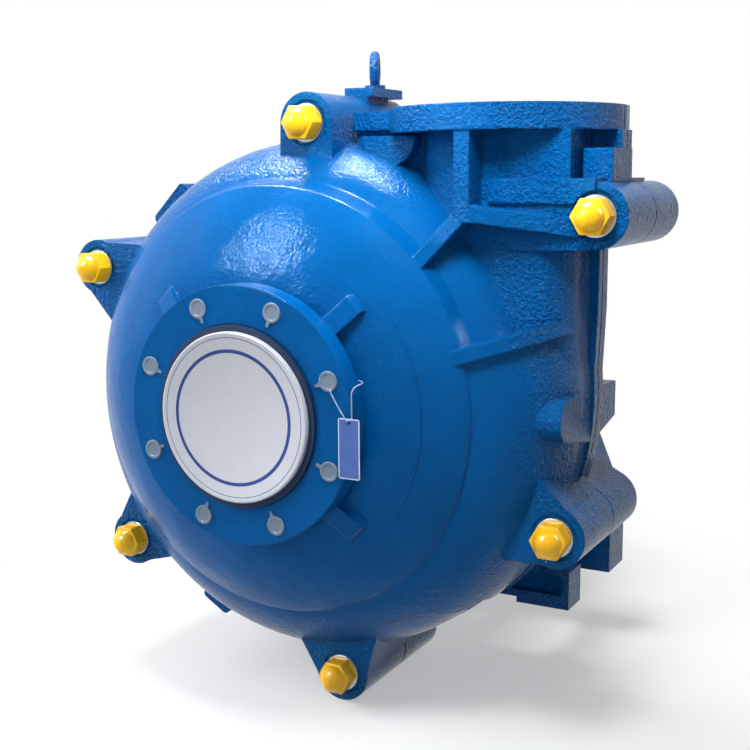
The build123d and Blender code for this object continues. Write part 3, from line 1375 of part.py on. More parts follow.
def bolt_cap():
    """Plastic cap over a bolt head: a hexagon skirt with a domed end."""
    seat = LUG_FRONT + SPOTFACE_DEPTH - COVER_WASHER_THICK - SEAT_GAP
    nose = seat - CAP_HEX_LENGTH
    skirt = slab(RegularPolygon(CAP_AF / 2, 6, major_radius=False), nose, seat)
    ball = Pos(0, nose + 4, 0) * Sphere(CAP_DOME_R)
    dome = ball & block(-CAP_AF, CAP_AF, nose - CAP_AF, nose + 1, -CAP_AF, CAP_AF)
    hexagon = RegularPolygon(COVER_HEAD_AF / 2 + 0.4, 6, major_radius=False)
    pocket = slab(hexagon, seat - COVER_HEAD_HEIGHT - 1, seat + 1)
    return skirt + dome - pocket


def bolt_caps():
    """One cap on each cover bolt."""
    cap = bolt_cap()
    return [Pos(x, 0, z) * cap for x, z in cover_bolt_points()]


def base_studs():
    """Studs from the frame plate through the base's flange."""
    end = BASE_START + BASE_FLANGE_THICK + 24
    return [bar(x, z, BASE_STUD_DIA / 2 - SEAT_GAP / 2, FRAME_BACK - 15, end) for x, z in base_stud_points()]


def base_stud_nuts():
    """Nuts of the studs on the base's flange."""
    start = BASE_START + BASE_FLANGE_THICK
    return [hex_nut(x, z, 30.0, BASE_STUD_DIA + SEAT_GAP, start, 16.0) for x, z in base_stud_points()]


def clamp_bolts():
    """Bolts that clamp the bearing housing to the cradle's pads."""
    seat = PAD_Z + RAIL_THICK + CLAMP_WASHER_THICK
    head = extrude(RegularPolygon(15.0, 6, major_radius=False), 13.0)
    shapes = []
    for station in clamp_stations():
        for side in (-1, 1):
            x = side * CLAMP_BOLT_X
            stem = post(x, station, CLAMP_BOLT_DIA / 2 - SEAT_GAP / 2, PAD_Z - PAD_THICK - 6, seat + 1)
            shapes.append(stem + Pos(x, station, seat) * head)
    return shapes


def clamp_washers():
    """Thick washers under the clamp bolts, over the slots."""
    low = PAD_Z + RAIL_THICK
    shapes = []
    for station in clamp_stations():
        for side in (-1, 1):
            x = side * CLAMP_BOLT_X
            ring = post(x, station, CLAMP_WASHER_R, low, low + CLAMP_WASHER_THICK)
            shapes.append(ring - post(x, station, CLAMP_BOLT_DIA / 2 + 0.5, low - 1, low + CLAMP_WASHER_THICK + 1))
    return shapes


def adjusting_screw():
    """Screw along the cradle, fixed in the base, that carries the housing's two nuts."""
    start = adjust_lug_start() - ADJUST_NUT_LENGTH - 18
    return bar(0, ADJUST_SCREW_Z, ADJUST_SCREW_DIA / 2, start, BASE_END + ADJUST_NUT_LENGTH + 14)


def adjusting_nuts():
    """Nuts each side of the housing's lug."""
    bore = ADJUST_SCREW_DIA + 2 * RUN_GAP
    near = adjust_lug_start() - ADJUST_NUT_LENGTH
    far = adjust_lug_start() + ADJUST_LUG_THICK
    return [hex_nut(0, ADJUST_SCREW_Z, 36.0, bore, start, ADJUST_NUT_LENGTH) for start in (near, far)]


def screw_locknut():
    """Nut that locks the adjusting screw in the base's rear wall."""
    return hex_nut(0, ADJUST_SCREW_Z, 36.0, ADJUST_SCREW_DIA + 2 * RUN_GAP, BASE_END, ADJUST_NUT_LENGTH)


# Pieces fitted for transport and lifting


def inlet_cover_disc():
    """Round cover that closes the intake, with a spigot inside the joint ring."""
    face = -JOINT_RING_PROUD - SEAT_GAP
    body = bar(0, 0, COVER_DISC_R, face - COVER_DISC_THICK, face)
    spigot_r = THROAT_NECK_R - JOINT_RING_WIDTH - FIT_GAP
    return body + pipe(spigot_r, spigot_r - 5, face - 1, face + COVER_DISC_SPIGOT)


def hole_plug():
    """Push-in plug for a flange hole: head, spigot and a small pull tab towards the centre."""
    body = bar(0, 0, PLUG_HEAD_R, -PLUG_HEAD_THICK - SEAT_GAP, -SEAT_GAP)
    body += bar(0, 0, INTAKE_HOLE_DIA / 2 - FIT_GAP, -SEAT_GAP - 1, PLUG_SPIGOT)
    root = 2 - PLUG_HEAD_R
    tip = -PLUG_HEAD_R - PLUG_TAB
    tab = outline((-3.5, root), (3.5, root), (1.5, tip), (-1.5, tip))
    return body + slab(tab, -PLUG_HEAD_THICK - SEAT_GAP, -SEAT_GAP)


def string_notch():
    """Cutter for the slot in one plug that lets the tag's string through."""
    half = TAG_STRING_DIA
    return block(STRING_NOTCH_R - half, PLUG_HEAD_R + 1, -PLUG_SPIGOT, PLUG_SPIGOT + 1, -half, half)


def flange_hole_plugs():
    """A plug in each hole of the intake flange, one of them slotted for the tag's string."""
    plug = hole_plug()
    shapes = []
    for i in range(INTAKE_HOLES):
        degrees = (i + 0.5) * 360.0 / INTAKE_HOLES
        shape = plug - string_notch() if i == STRING_PLUG else plug
        shapes.append(Rot(0, degrees, 0) * Pos(0, 0, INTAKE_BOLT_CIRCLE / 2) * shape)
    return shapes


def slack(start, end, share):
    """Point of a slack strand between two places."""
    x, y, z = (a + (b - a) * share for a, b in zip(start, end))
    return (x, y, z - 4 * STRING_SAG * share * (1 - share))


def string_route():
    """Corners of the tag's string: through a flange hole, behind the rim and back to the tag."""
    degrees = (STRING_PLUG + 0.5) * 360.0 / INTAKE_HOLES
    hole_x, hole_z = at_angle(INTAKE_BOLT_CIRCLE / 2, degrees)
    across_x, across_z = at_angle(STRING_NOTCH_R, degrees + 90.0)
    rim_x, rim_z = at_angle(INTAKE_FLANGE_DIA / 2 + STRING_RIM_GAP, STRING_RIM_DEG)
    tag_x, tag_y, tag_z = tag_pivot()
    front = TAG_STATION + TAG_THICK
    back = INTAKE_FLANGE_THICK + STRING_BACK_GAP
    through = (tag_x - 0.5, tag_y - 2.2 * TAG_STRING_DIA, tag_z)
    notch = (hole_x + across_x, front, hole_z + across_z)
    over_rim = (rim_x, front, rim_z)
    end = (tag_x + 1.5 * TAG_STRING_DIA, tag_y + 2 * TAG_STRING_DIA, tag_z)
    return (
        (tag_x, tag_y + 1.5 * TAG_STRING_DIA, tag_z),
        through,
        slack(through, notch, 0.24),
        slack(through, notch, 0.62),
        notch,
        (notch[0], 0.6 * INTAKE_FLANGE_THICK, notch[2]),
        (hole_x, back, hole_z),
        (rim_x, back, rim_z),
        over_rim,
        slack(over_rim, end, 0.5),
        end,
    )


def tag_string():
    """Thin string of the tag: straight runs joined by arcs."""
    route = [Vector(*p) for p in string_route()]
    radii = []
    for before, corner, after in zip(route, route[1:], route[2:]):
        run_in = corner - before
        run_out = after - corner
        half_turn = math.radians(run_in.get_angle(run_out)) / 2
        room = 0.45 * min(run_in.length, run_out.length) / math.tan(half_turn)
        radii.append(min(room, STRING_BEND_R))
    path = FilletPolyline(*route, radius=radii)
    return sweep(Plane(origin=path @ 0, z_dir=path % 0) * Circle(TAG_STRING_DIA / 2), path)


def tag_pivot():
    """Middle of the string where the tag hangs on it, at the top of the tag's hole."""
    return (TAG_HOLE_X, TAG_STATION, TAG_HOLE_Z + (TAG_HOLE_DIA - TAG_STRING_DIA) / 2 - TAG_PLAY)


def hang_tag():
    """Flat tag with a round hole at the top."""
    middle = TAG_HOLE_Z + TAG_HOLE_DIA - TAG_HEIGHT / 2
    face = Pos(TAG_HOLE_X, middle) * RectangleRounded(TAG_WIDTH, TAG_HEIGHT, 3.0)
    face -= Pos(TAG_HOLE_X, TAG_HOLE_Z) * Circle(TAG_HOLE_DIA / 2)
    return slab(face, TAG_STATION - TAG_THICK / 2, TAG_STATION + TAG_THICK / 2)


def eyebolt():
    """Lifting eye in the shelf on the frame plate's top lug."""
    wire = EYE_WIRE_DIA / 2
    centre = SHELF_TOP_Z + wire + EYE_RING_R + 1
    ring = revolve(Plane.XZ * Pos(0, EYE_RING_R) * Circle(wire), Axis.X)
    ring = Pos(EYE_X, EYE_STATION, centre) * Rot(0, 0, EYE_TURN_DEG) * ring
    collar = post(EYE_X, EYE_STATION, 15.0, SHELF_TOP_Z, SHELF_TOP_Z + 6)
    stem = post(EYE_X, EYE_STATION, wire - SEAT_GAP / 2, SHELF_TOP_Z - 21, SHELF_TOP_Z + 6)
    return ring + collar + stem


def main():
    """Build every piece and write one file for each."""
    os.makedirs("parts", exist_ok=True)
    pieces = {
        "cover_plate": cover_plate(),
        "frame_plate": frame_plate(),
        "volute_liner": volute_liner(),
        "throatbush": throatbush(),
        "frame_plate_liner_insert": frame_plate_liner_insert(),
        "intake_joint_ring": intake_joint_ring(),
        "discharge_joint_ring": discharge_joint_ring(),
        "impeller": impeller(),
        "shaft": shaft(),
        "base_frame": base_frame(),
        "bearing_housing": bearing_housing(),
        "stuffing_box": stuffing_box(),
        "neck_ring": neck_ring(),
        "lantern_ring": lantern_ring(),
        "impeller_end_cover": end_cover(HOUSING_START, 1),
        "drive_end_cover": end_cover(HOUSING_END, -1),
        "impeller_end_labyrinth": labyrinth(HOUSING_START, 1),
        "drive_end_labyrinth": labyrinth(HOUSING_END, -1),
        "inlet_cover_disc": inlet_cover_disc(),
        "eyebolt": eyebolt(),
        "adjusting_screw": adjusting_screw(),
        "screw_locknut": screw_locknut(),
        "shaft_sleeve": shaft_sleeve(),
        "shaft_spacer": shaft_spacer(),
        "bearing_locknut": bearing_locknut(),
        "gland_nut_left": gland_nut(-1),
        "gland_nut_right": gland_nut(1),
        "hang_tag": hang_tag(),
        "tag_string": tag_string(),
    }
    groups = {
        "packing_rings": packing_rings(),
        "gland_halves": gland_halves(),
        "gland_studs": gland_studs(),
        "end_cover_bolts": end_cover_bolts(),
        "grease_nipples": grease_nipples(),
        "cover_plate_bolts": cover_plate_bolts(),
        "cover_bolt_washers": cover_bolt_washers(),
        "cover_plate_nuts": cover_plate_nuts(),
        "bolt_caps": bolt_caps(),
        "base_studs": base_studs(),
        "base_stud_nuts": base_stud_nuts(),
        "clamp_bolts": clamp_bolts(),
        "clamp_washers": clamp_washers(),
        "adjusting_nuts": adjusting_nuts(),
        "flange_hole_plugs": flange_hole_plugs(),
    }
    for name, start in (("impeller_end", FRONT_BEARING), ("drive_end", REAR_BEARING)):
        outer, inner = bearing_rings(start)
        pieces[f"{name}_outer_ring"] = outer
        pieces[f"{name}_inner_ring"] = inner
        pieces[f"{name}_cage"] = cage(start)
        groups[f"{name}_rollers"] = rollers(start)
    for name, shape in pieces.items():
        save(shape, name)
    for name, solids in groups.items():
        save(Compound(children=list(solids)), name)


main()
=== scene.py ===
"""Looks, lights and camera for the slurry pump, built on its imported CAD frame.

Every casting keeps its CAD mesh and gets a procedural finish. Moulded caps, plugs, the intake disc
and the tag's string are made here and stand for their plainer CAD nodes.
"""

from __future__ import annotations

import json
import logging
import math
from dataclasses import dataclass
from enum import Enum

import bmesh
import bpy
from mathutils import Matrix, Vector

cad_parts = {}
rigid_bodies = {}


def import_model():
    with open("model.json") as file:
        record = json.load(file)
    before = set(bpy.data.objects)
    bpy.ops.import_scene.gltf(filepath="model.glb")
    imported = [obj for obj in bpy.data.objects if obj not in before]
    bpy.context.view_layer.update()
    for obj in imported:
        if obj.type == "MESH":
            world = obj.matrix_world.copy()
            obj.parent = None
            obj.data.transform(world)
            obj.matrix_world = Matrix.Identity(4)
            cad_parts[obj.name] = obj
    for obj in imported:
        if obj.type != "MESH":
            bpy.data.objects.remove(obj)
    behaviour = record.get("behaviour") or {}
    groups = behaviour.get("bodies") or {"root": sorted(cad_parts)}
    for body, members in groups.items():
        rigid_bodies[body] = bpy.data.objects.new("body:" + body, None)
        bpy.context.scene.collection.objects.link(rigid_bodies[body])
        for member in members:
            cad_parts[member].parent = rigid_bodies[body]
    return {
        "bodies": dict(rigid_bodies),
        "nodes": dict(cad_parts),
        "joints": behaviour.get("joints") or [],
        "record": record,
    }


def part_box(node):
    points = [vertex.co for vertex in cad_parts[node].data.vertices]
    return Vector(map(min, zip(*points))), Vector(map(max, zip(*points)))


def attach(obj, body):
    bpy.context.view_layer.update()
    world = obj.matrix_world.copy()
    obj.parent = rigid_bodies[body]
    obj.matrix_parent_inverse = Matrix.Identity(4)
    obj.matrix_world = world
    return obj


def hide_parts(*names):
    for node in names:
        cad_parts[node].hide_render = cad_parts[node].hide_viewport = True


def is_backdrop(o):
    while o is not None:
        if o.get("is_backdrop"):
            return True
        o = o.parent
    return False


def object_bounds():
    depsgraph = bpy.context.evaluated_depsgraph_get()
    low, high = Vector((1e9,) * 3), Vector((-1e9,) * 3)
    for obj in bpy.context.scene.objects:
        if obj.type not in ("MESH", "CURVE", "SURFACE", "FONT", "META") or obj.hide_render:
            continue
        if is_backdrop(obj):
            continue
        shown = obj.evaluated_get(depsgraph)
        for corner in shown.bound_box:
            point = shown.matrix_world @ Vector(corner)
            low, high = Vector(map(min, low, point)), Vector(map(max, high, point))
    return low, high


LOG = logging.getLogger("pump_scene")

Colour = tuple[float, float, float]
Point = tuple[float, float, float]
Feed = bpy.types.NodeSocket | float | tuple[float, ...]

FLOAT_SOCKET = "NodeSocketFloat"
VECTOR_SOCKET = "NodeSocketVector"

ROOT_BODY = "casing_and_base"
SHAFT_HEIGHT = 0.345
FLOOR_GAP = 0.003
SHARP_ANGLE = math.radians(38.0)

# Radii from the shaft axis between which the casing's smooth front turns into rough casting.
DRESSED_TO_ROUGH = (0.3, 0.37)

WHITE = (1.0, 1.0, 1.0, 1.0)
BLACK = (0.0, 0.0, 0.0, 1.0)
DUST_COLOUR = (0.32, 0.30, 0.27, 1.0)
RING_COLOUR = (0.012, 0.04, 0.22, 1.0)
PAPER_COLOUR = (0.62, 0.66, 0.76, 1.0)

# Printed rings of the intake disc, as inner and outer radius, and the radius that the ramp spans.
RINGS = ((0.0847, 0.0893), (0.1037, 0.105))
RING_SPAN = 0.12
TAG_MARGIN = 0.0013


class Effect(Enum):
    """Names of the shared shader node groups."""

    CAST_GRAIN = "cast_grain"
    MOULDED = "moulded_skin"
    SOFT_EDGE = "soft_edge"
    DUST = "dust"
    TURNED = "turned_lines"


class Print(Enum):
    """What is printed over a finish."""

    NONE = "none"
    RINGS = "rings"
    FIELD = "field"


@dataclass(frozen=True)
class Skin:
    """How the bumps of a surface are spread.

    Attributes:
        wave_share: Height of the slow waves over that of the grain.
        detail: Octaves of the grain.
        patches: How much the grain fades between rough patches, from 0 to 1.
        dressed: Share of the grain that is left on the smooth front near the shaft.
    """

    wave_share: float
    detail: float
    patches: float
    dressed: float


SKINS: dict[Effect, Skin] = {
    Effect.CAST_GRAIN: Skin(wave_share=0.27, detail=2.5, patches=0.6, dressed=0.14),
    Effect.MOULDED: Skin(wave_share=1.8, detail=2.0, patches=0.3, dressed=1.0),
}


@dataclass(frozen=True)
class Finish:
    """One procedural finish.

    Attributes:
        slot: Material slot of the record that it goes on.
        colour: Main colour, linear.
        low: Second colour that the pattern mixes in, linear.
        roughness: Roughness of the main surface.
        metallic: Metal share of the main surface.
        grain: Number of bumps in a metre.
        relief: Height of the bumps in metres.
        edge: Radius in metres that sharp edges are shaded with.
        coat: Weight of the clear coat.
        dust: How much of the settled dust mask shows.
        turned: Strength of the lathe lines.
        specular: Specular level under the coat.
        glint: Tint of the reflection under the coat.
        skin: Group that makes its bumps.
        printed: What is printed over it.
    """

    slot: str
    colour: Colour
    low: Colour
    roughness: float
    metallic: float = 0.0
    grain: float = 500.0
    relief: float = 0.00005
    edge: float = 0.001
    coat: float = 0.0
    dust: float = 0.1
    turned: float = 0.0
    specular: float = 0.25
    glint: Colour = (1.0, 1.0, 1.0)
    skin: Effect = Effect.MOULDED
    printed: Print = Print.NONE


FINISHES: tuple[Finish, ...] = (
    Finish(
        "blue_enamel",
        (0.0004, 0.092, 0.315),
        (0.0003, 0.076, 0.26),
        roughness=0.16,
        grain=190.0,
        relief=0.009,
        edge=0.004,
        coat=0.06,
        dust=0.01,
        specular=0.1,
        glint=(0.1, 0.5, 1.0),
        skin=Effect.CAST_GRAIN,
    ),
    Finish(
        "hard_iron",
        (0.21, 0.21, 0.22),
        (0.12, 0.11, 0.11),
        roughness=0.55,
        metallic=0.85,
        grain=240.0,
        relief=0.0004,
        edge=0.003,
        dust=0.3,
        skin=Effect.CAST_GRAIN,
    ),
    Finish(
        "machined_steel",
        (0.42, 0.43, 0.45),
        (0.3, 0.31, 0.33),
        roughness=0.22,
        metallic=1.0,
        grain=900.0,
        relief=0.00003,
        edge=0.0008,
        turned=0.7,
    ),
    Finish(
        "plated_steel",
        (0.66, 0.65, 0.61),
        (0.5, 0.49, 0.44),
        roughness=0.3,
        metallic=1.0,
        grain=700.0,
        dust=0.15,
        turned=0.2,
    ),
    Finish(
        "bronze",
        (0.62, 0.4, 0.16),
        (0.44, 0.26, 0.1),
        roughness=0.32,
        metallic=1.0,
        grain=700.0,
        edge=0.0008,
        dust=0.15,
        turned=0.5,
    ),
    Finish("packing", (0.06, 0.06, 0.055), (0.02, 0.02, 0.018), roughness=0.8, relief=0.0006),
    # The joint ring round the intake disc is dark navy: its blue paint darkened well below the enamel, as
    # painted shade for the shadowed step round the disc.
    Finish("rubber", (0.006, 0.022, 0.075), (0.004, 0.014, 0.05), roughness=0.55, grain=800.0, dust=0.05),
    Finish(
        "yellow_cap",
        (0.96, 0.53, 0.0005),
        (0.9, 0.47, 0.0005),
        roughness=0.3,
        grain=220.0,
        relief=0.00006,
        edge=0.0006,
        coat=0.25,
        dust=0.02,
    ),
    Finish(
        "plug", (0.165, 0.22, 0.3), (0.16, 0.22, 0.31), roughness=0.4, grain=400.0, edge=0.0005, coat=0.05
    ),
    Finish(
        "cover_disc",
        (0.51, 0.54, 0.6),
        (0.48, 0.51, 0.57),
        roughness=0.35,
        grain=60.0,
        relief=0.00008,
        edge=0.0006,
        coat=0.15,
        dust=0.03,
        printed=Print.RINGS,
    ),
    Finish(
        "tag",
        (0.065, 0.13, 0.42),
        (0.06, 0.12, 0.39),
        roughness=0.4,
        relief=0.00004,
        edge=0.0003,
        coat=0.1,
        dust=0.02,
        printed=Print.FIELD,
    ),
    Finish(
        "tag_string",
        (0.3, 0.42, 0.6),
        (0.22, 0.32, 0.48),
        roughness=0.6,
        grain=2200.0,
        relief=0.0001,
        edge=0.0001,
        dust=0.05,
    ),
)


@dataclass
class Graph:
    """Adds nodes to a node tree and wires them.

    Attributes:
        tree: The node tree.
    """

    tree: bpy.types.NodeTree

    def feed(self, node: bpy.types.Node, inputs: dict[str | int, Feed]) -> None:
        """Wire or set inputs of a node.

        Args:
            node: The node.
            inputs: Socket or constant for each input, by its name or number.
        """
        for name, value in inputs.items():
            if isinstance(value, bpy.types.NodeSocket):
                self.tree.links.new(value, node.inputs[name])
            else:
                node.inputs[name].default_value = value

    def add(self, kind: str, inputs: dict[str | int, Feed] | None = None) -> bpy.types.Node:
        """Add a node.

        Args:
            kind: Type name of the node.
            inputs: Socket or constant for each input, by its name or number.

        Returns:
            The new node.
        """
        node = self.tree.nodes.new(kind)
        self.feed(node, inputs or {})
        return node

    def math(self, operation: str, first: Feed, second: Feed) -> bpy.types.NodeSocket:
        """Work out one number from two.

        Args:
            operation: Name of the operation.
            first: First number.
            second: Second number.

        Returns:
            Socket of the result.
        """
        node = self.add("ShaderNodeMath", {0: first, 1: second})
        node.operation = operation
        return node.outputs[0]

    def spread(
        self,
        value: Feed,
        ends: tuple[float, float],
        low: float = 0.0,
        high: float = 1.0,
        smooth: bool = False,
    ) -> bpy.types.NodeSocket:
        """Map a range of a number onto another range, and clamp it there.

        Args:
            value: The number.
            ends: Start and end of its range.
            low: What the start becomes.
            high: What the end becomes.
            smooth: Whether the new range is entered and left gently.

        Returns:
            Socket of the result.
        """
        start, end = ends
        inputs = {"Value": value, "From Min": start, "From Max": end, "To Min": low, "To Max": high}
        node = self.add("ShaderNodeMapRange", inputs)
        if smooth:
            node.interpolation_type = "SMOOTHSTEP"
        return node.outputs["Result"]

    def mix(self, kind: str, factor: Feed, first: Feed, second: Feed) -> bpy.types.NodeSocket:
        """Mix two numbers or two colours.

        Args:
            kind: FLOAT or RGBA.
            factor: Share of the second one.
            first: First number or colour.
            second: Second number or colour.

        Returns:
            Socket of the result.
        """
        node = self.tree.nodes.new("ShaderNodeMix")
        node.data_type = kind
        self.feed(node, {"Factor": factor, "A": first, "B": second})
        return node.outputs["Result"]

    def mix_shaders(
        self, factor: Feed, first: bpy.types.NodeSocket, second: bpy.types.NodeSocket
    ) -> bpy.types.NodeSocket:
        """Mix two shaders.

        Args:
            factor: Share of the second one.
            first: First shader.
            second: Second shader.

        Returns:
            Socket of the mixed shader.
        """
        return self.add("ShaderNodeMixShader", {"Fac": factor, 1: first, 2: second}).outputs["Shader"]

    def place(self) -> bpy.types.NodeSocket:
        """Give the place of the shaded point in its object, in metres."""
        return self.add("ShaderNodeTexCoord").outputs["Object"]

    def noise(self, place: Feed, scale: Feed, detail: float, roughness: float = 0.5) -> bpy.types.NodeSocket:
        """Make a noise.

        Args:
            place: Place that the noise is looked up at.
            scale: Number of its bumps in a metre.
            detail: Its octaves.
            roughness: Share that each octave keeps.

        Returns:
            Socket of the noise, round 0.5.
        """
        inputs = {"Vector": place, "Scale": scale, "Detail": detail, "Roughness": roughness}
        return self.add("ShaderNodeTexNoise", inputs).outputs["Fac"]

    def bump(self, strength: Feed, distance: Feed, height: Feed, normal: Feed) -> bpy.types.NodeSocket:
        """Tilt the normal by a height.

        Args:
            strength: Strength of the bumps.
            distance: What a height of 1 is in metres.
            height: The height.
            normal: Normal that is tilted.

        Returns:
            Socket of the tilted normal.
        """
        inputs = {"Strength": strength, "Distance": distance, "Height": height, "Normal": normal}
        return self.add("ShaderNodeBump", inputs).outputs["Normal"]

    def distance(self, place: Feed, shift: Point, scale: Point) -> bpy.types.NodeSocket:
        """Measure how far a place lies from an axis.

        Args:
            place: The place.
            shift: What is added to it, so that the axis runs through the origin.
            scale: Scale of each coordinate, 0 along the axis.

        Returns:
            Socket of the distance in metres.
        """
        flat = self.add("ShaderNodeMapping", {"Vector": place, "Location": shift, "Scale": scale})
        length = self.add("ShaderNodeVectorMath", {0: flat.outputs["Vector"]})
        length.operation = "LENGTH"
        return length.outputs["Value"]

    def shaft_distance(self, place: Feed) -> bpy.types.NodeSocket:
        """Measure how far a place lies from the shaft's axis.

        Args:
            place: The place.

        Returns:
            Socket of the distance in metres.
        """
        return self.distance(place, (0.0, 0.0, -SHAFT_HEIGHT), (1.0, 0.0, 1.0))

    def background_rays(self) -> bpy.types.NodeSocket:
        """Single out the rays that see the background: camera, mirror and glass rays.

        Returns:
            Socket that is 1 for such a ray, or else 0.
        """
        path = self.add("ShaderNodeLightPath").outputs
        mirrored = self.math("MAXIMUM", path["Is Camera Ray"], path["Is Glossy Ray"])
        return self.math("MAXIMUM", mirrored, path["Is Transmission Ray"])


@dataclass
class GroupShop:
    """Builds the shader node groups that several materials share.

    Attributes:
        fine_roughness: Share that each octave of the grain keeps.
        slow_share: Number of slow waves over that of the grain's bumps.
        slow_detail: Octaves of the slow waves.
        slow_mask: Share of the slow waves in the mask.
        patch_scale: Number of rough patches in a metre.
        patch_detail: Octaves of the patches.
        patch_ends: Values of their noise between which they come up.
        bevel_samples: Samples of the rounded shading of edges.
        corner_reach: Distance within which a corner gathers dust.
        corner_samples: Samples of the corner mask.
        cloud_scale: Number of dust clouds in a metre.
        cloud_detail: Octaves of the dust clouds.
        line_scale: Number of lathe lines in a metre.
        line_detail: Octaves of the lathe lines.
        line_height: Height of the lathe lines.
    """

    fine_roughness: float = 0.62
    slow_share: float = 0.09
    slow_detail: float = 2.0
    slow_mask: float = 0.5
    patch_scale: float = 9.0
    patch_detail: float = 1.0
    patch_ends: tuple[float, float] = (0.38, 0.62)
    bevel_samples: int = 6
    corner_reach: float = 0.02
    corner_samples: int = 4
    cloud_scale: float = 60.0
    cloud_detail: float = 5.0
    line_scale: float = 2600.0
    line_detail: float = 1.0
    line_height: float = 0.0001

    def build(self) -> dict[Effect, bpy.types.NodeTree]:
        """Make every shared group.

        Returns:
            The groups by effect.
        """
        groups = {effect: self._grain(effect, skin) for effect, skin in SKINS.items()}
        groups[Effect.SOFT_EDGE] = self._soft_edge()
        groups[Effect.DUST] = self._dust()
        groups[Effect.TURNED] = self._turned()
        return groups

    @staticmethod
    def _new(
        effect: Effect, inputs: dict[str, str], outputs: dict[str, str]
    ) -> tuple[Graph, bpy.types.NodeOutputs, bpy.types.Node]:
        """Start a group.

        Args:
            effect: Name of the group.
            inputs: Socket type of each input.
            outputs: Socket type of each output.

        Returns:
            The graph of the group, the sockets that bring its inputs, and the node of its outputs.
        """
        tree = bpy.data.node_groups.new(effect.value, "ShaderNodeTree")
        for way, sockets in (("INPUT", inputs), ("OUTPUT", outputs)):
            for name, kind in sockets.items():
                tree.interface.new_socket(name, in_out=way, socket_type=kind)
        return Graph(tree), tree.nodes.new("NodeGroupInput").outputs, tree.nodes.new("NodeGroupOutput")

    def _grain(self, effect: Effect, skin: Skin) -> bpy.types.NodeTree:
        """Build fine surface grain over slow waviness, as a normal and a mask.

        Args:
            effect: Name of the group.
            skin: How the bumps are spread.

        Returns:
            The node group.
        """
        graph, given, result = self._new(
            effect,
            {"Grain": FLOAT_SOCKET, "Relief": FLOAT_SOCKET, "Normal": VECTOR_SOCKET},
            {"Normal": VECTOR_SOCKET, "Mask": FLOAT_SOCKET},
        )
        place = graph.place()
        fine = graph.noise(place, given["Grain"], skin.detail, self.fine_roughness)
        slow_scale = graph.math("MULTIPLY", given["Grain"], self.slow_share)
        slow = graph.noise(place, slow_scale, self.slow_detail)
        wave_height = graph.math("MULTIPLY", given["Relief"], skin.wave_share)
        waves = graph.bump(1.0, wave_height, slow, given["Normal"])
        patch = graph.noise(place, self.patch_scale, self.patch_detail)
        rough = graph.spread(patch, self.patch_ends, 1.0 - skin.patches)
        outside = graph.spread(graph.shaft_distance(place), DRESSED_TO_ROUGH, skin.dressed)
        bumps = graph.bump(graph.math("MULTIPLY", rough, outside), given["Relief"], fine, waves)
        mask = graph.mix("FLOAT", self.slow_mask, fine, slow)
        graph.feed(result, {"Normal": bumps, "Mask": mask})
        return graph.tree

    def _soft_edge(self) -> bpy.types.NodeTree:
        """Build rounded shading for sharp edges.

        Returns:
            The node group.
        """
        graph, given, result = self._new(
            Effect.SOFT_EDGE, {"Radius": FLOAT_SOCKET}, {"Normal": VECTOR_SOCKET}
        )
        rounded = graph.add("ShaderNodeBevel", {"Radius": given["Radius"]})
        rounded.samples = self.bevel_samples
        graph.feed(result, {"Normal": rounded.outputs["Normal"]})
        return graph.tree

    def _dust(self) -> bpy.types.NodeTree:
        """Build a mask of dust that settles in corners.

        Returns:
            The node group.
        """
        graph, given, result = self._new(Effect.DUST, {"Amount": FLOAT_SOCKET}, {"Mask": FLOAT_SOCKET})
        corner = graph.add("ShaderNodeAmbientOcclusion", {"Distance": self.corner_reach})
        corner.samples = self.corner_samples
        shut = graph.math("SUBTRACT", 1.0, corner.outputs["AO"])
        cloud = graph.noise(graph.place(), self.cloud_scale, self.cloud_detail)
        share = graph.math("MULTIPLY", graph.math("MULTIPLY", shut, cloud), given["Amount"])
        share.node.use_clamp = True
        graph.feed(result, {"Mask": share})
        return graph.tree

    def _turned(self) -> bpy.types.NodeTree:
        """Build fine lines round the shaft axis, as left by a lathe.

        Returns:
            The node group.
        """
        graph, given, result = self._new(
            Effect.TURNED, {"Strength": FLOAT_SOCKET, "Normal": VECTOR_SOCKET}, {"Normal": VECTOR_SOCKET}
        )
        along = graph.add("ShaderNodeMapping", {"Vector": graph.place(), "Scale": (0.0, 1.0, 0.0)})
        lines = graph.noise(along.outputs["Vector"], self.line_scale, self.line_detail)
        bumps = graph.bump(given["Strength"], self.line_height, lines, given["Normal"])
        graph.feed(result, {"Normal": bumps})
        return graph.tree


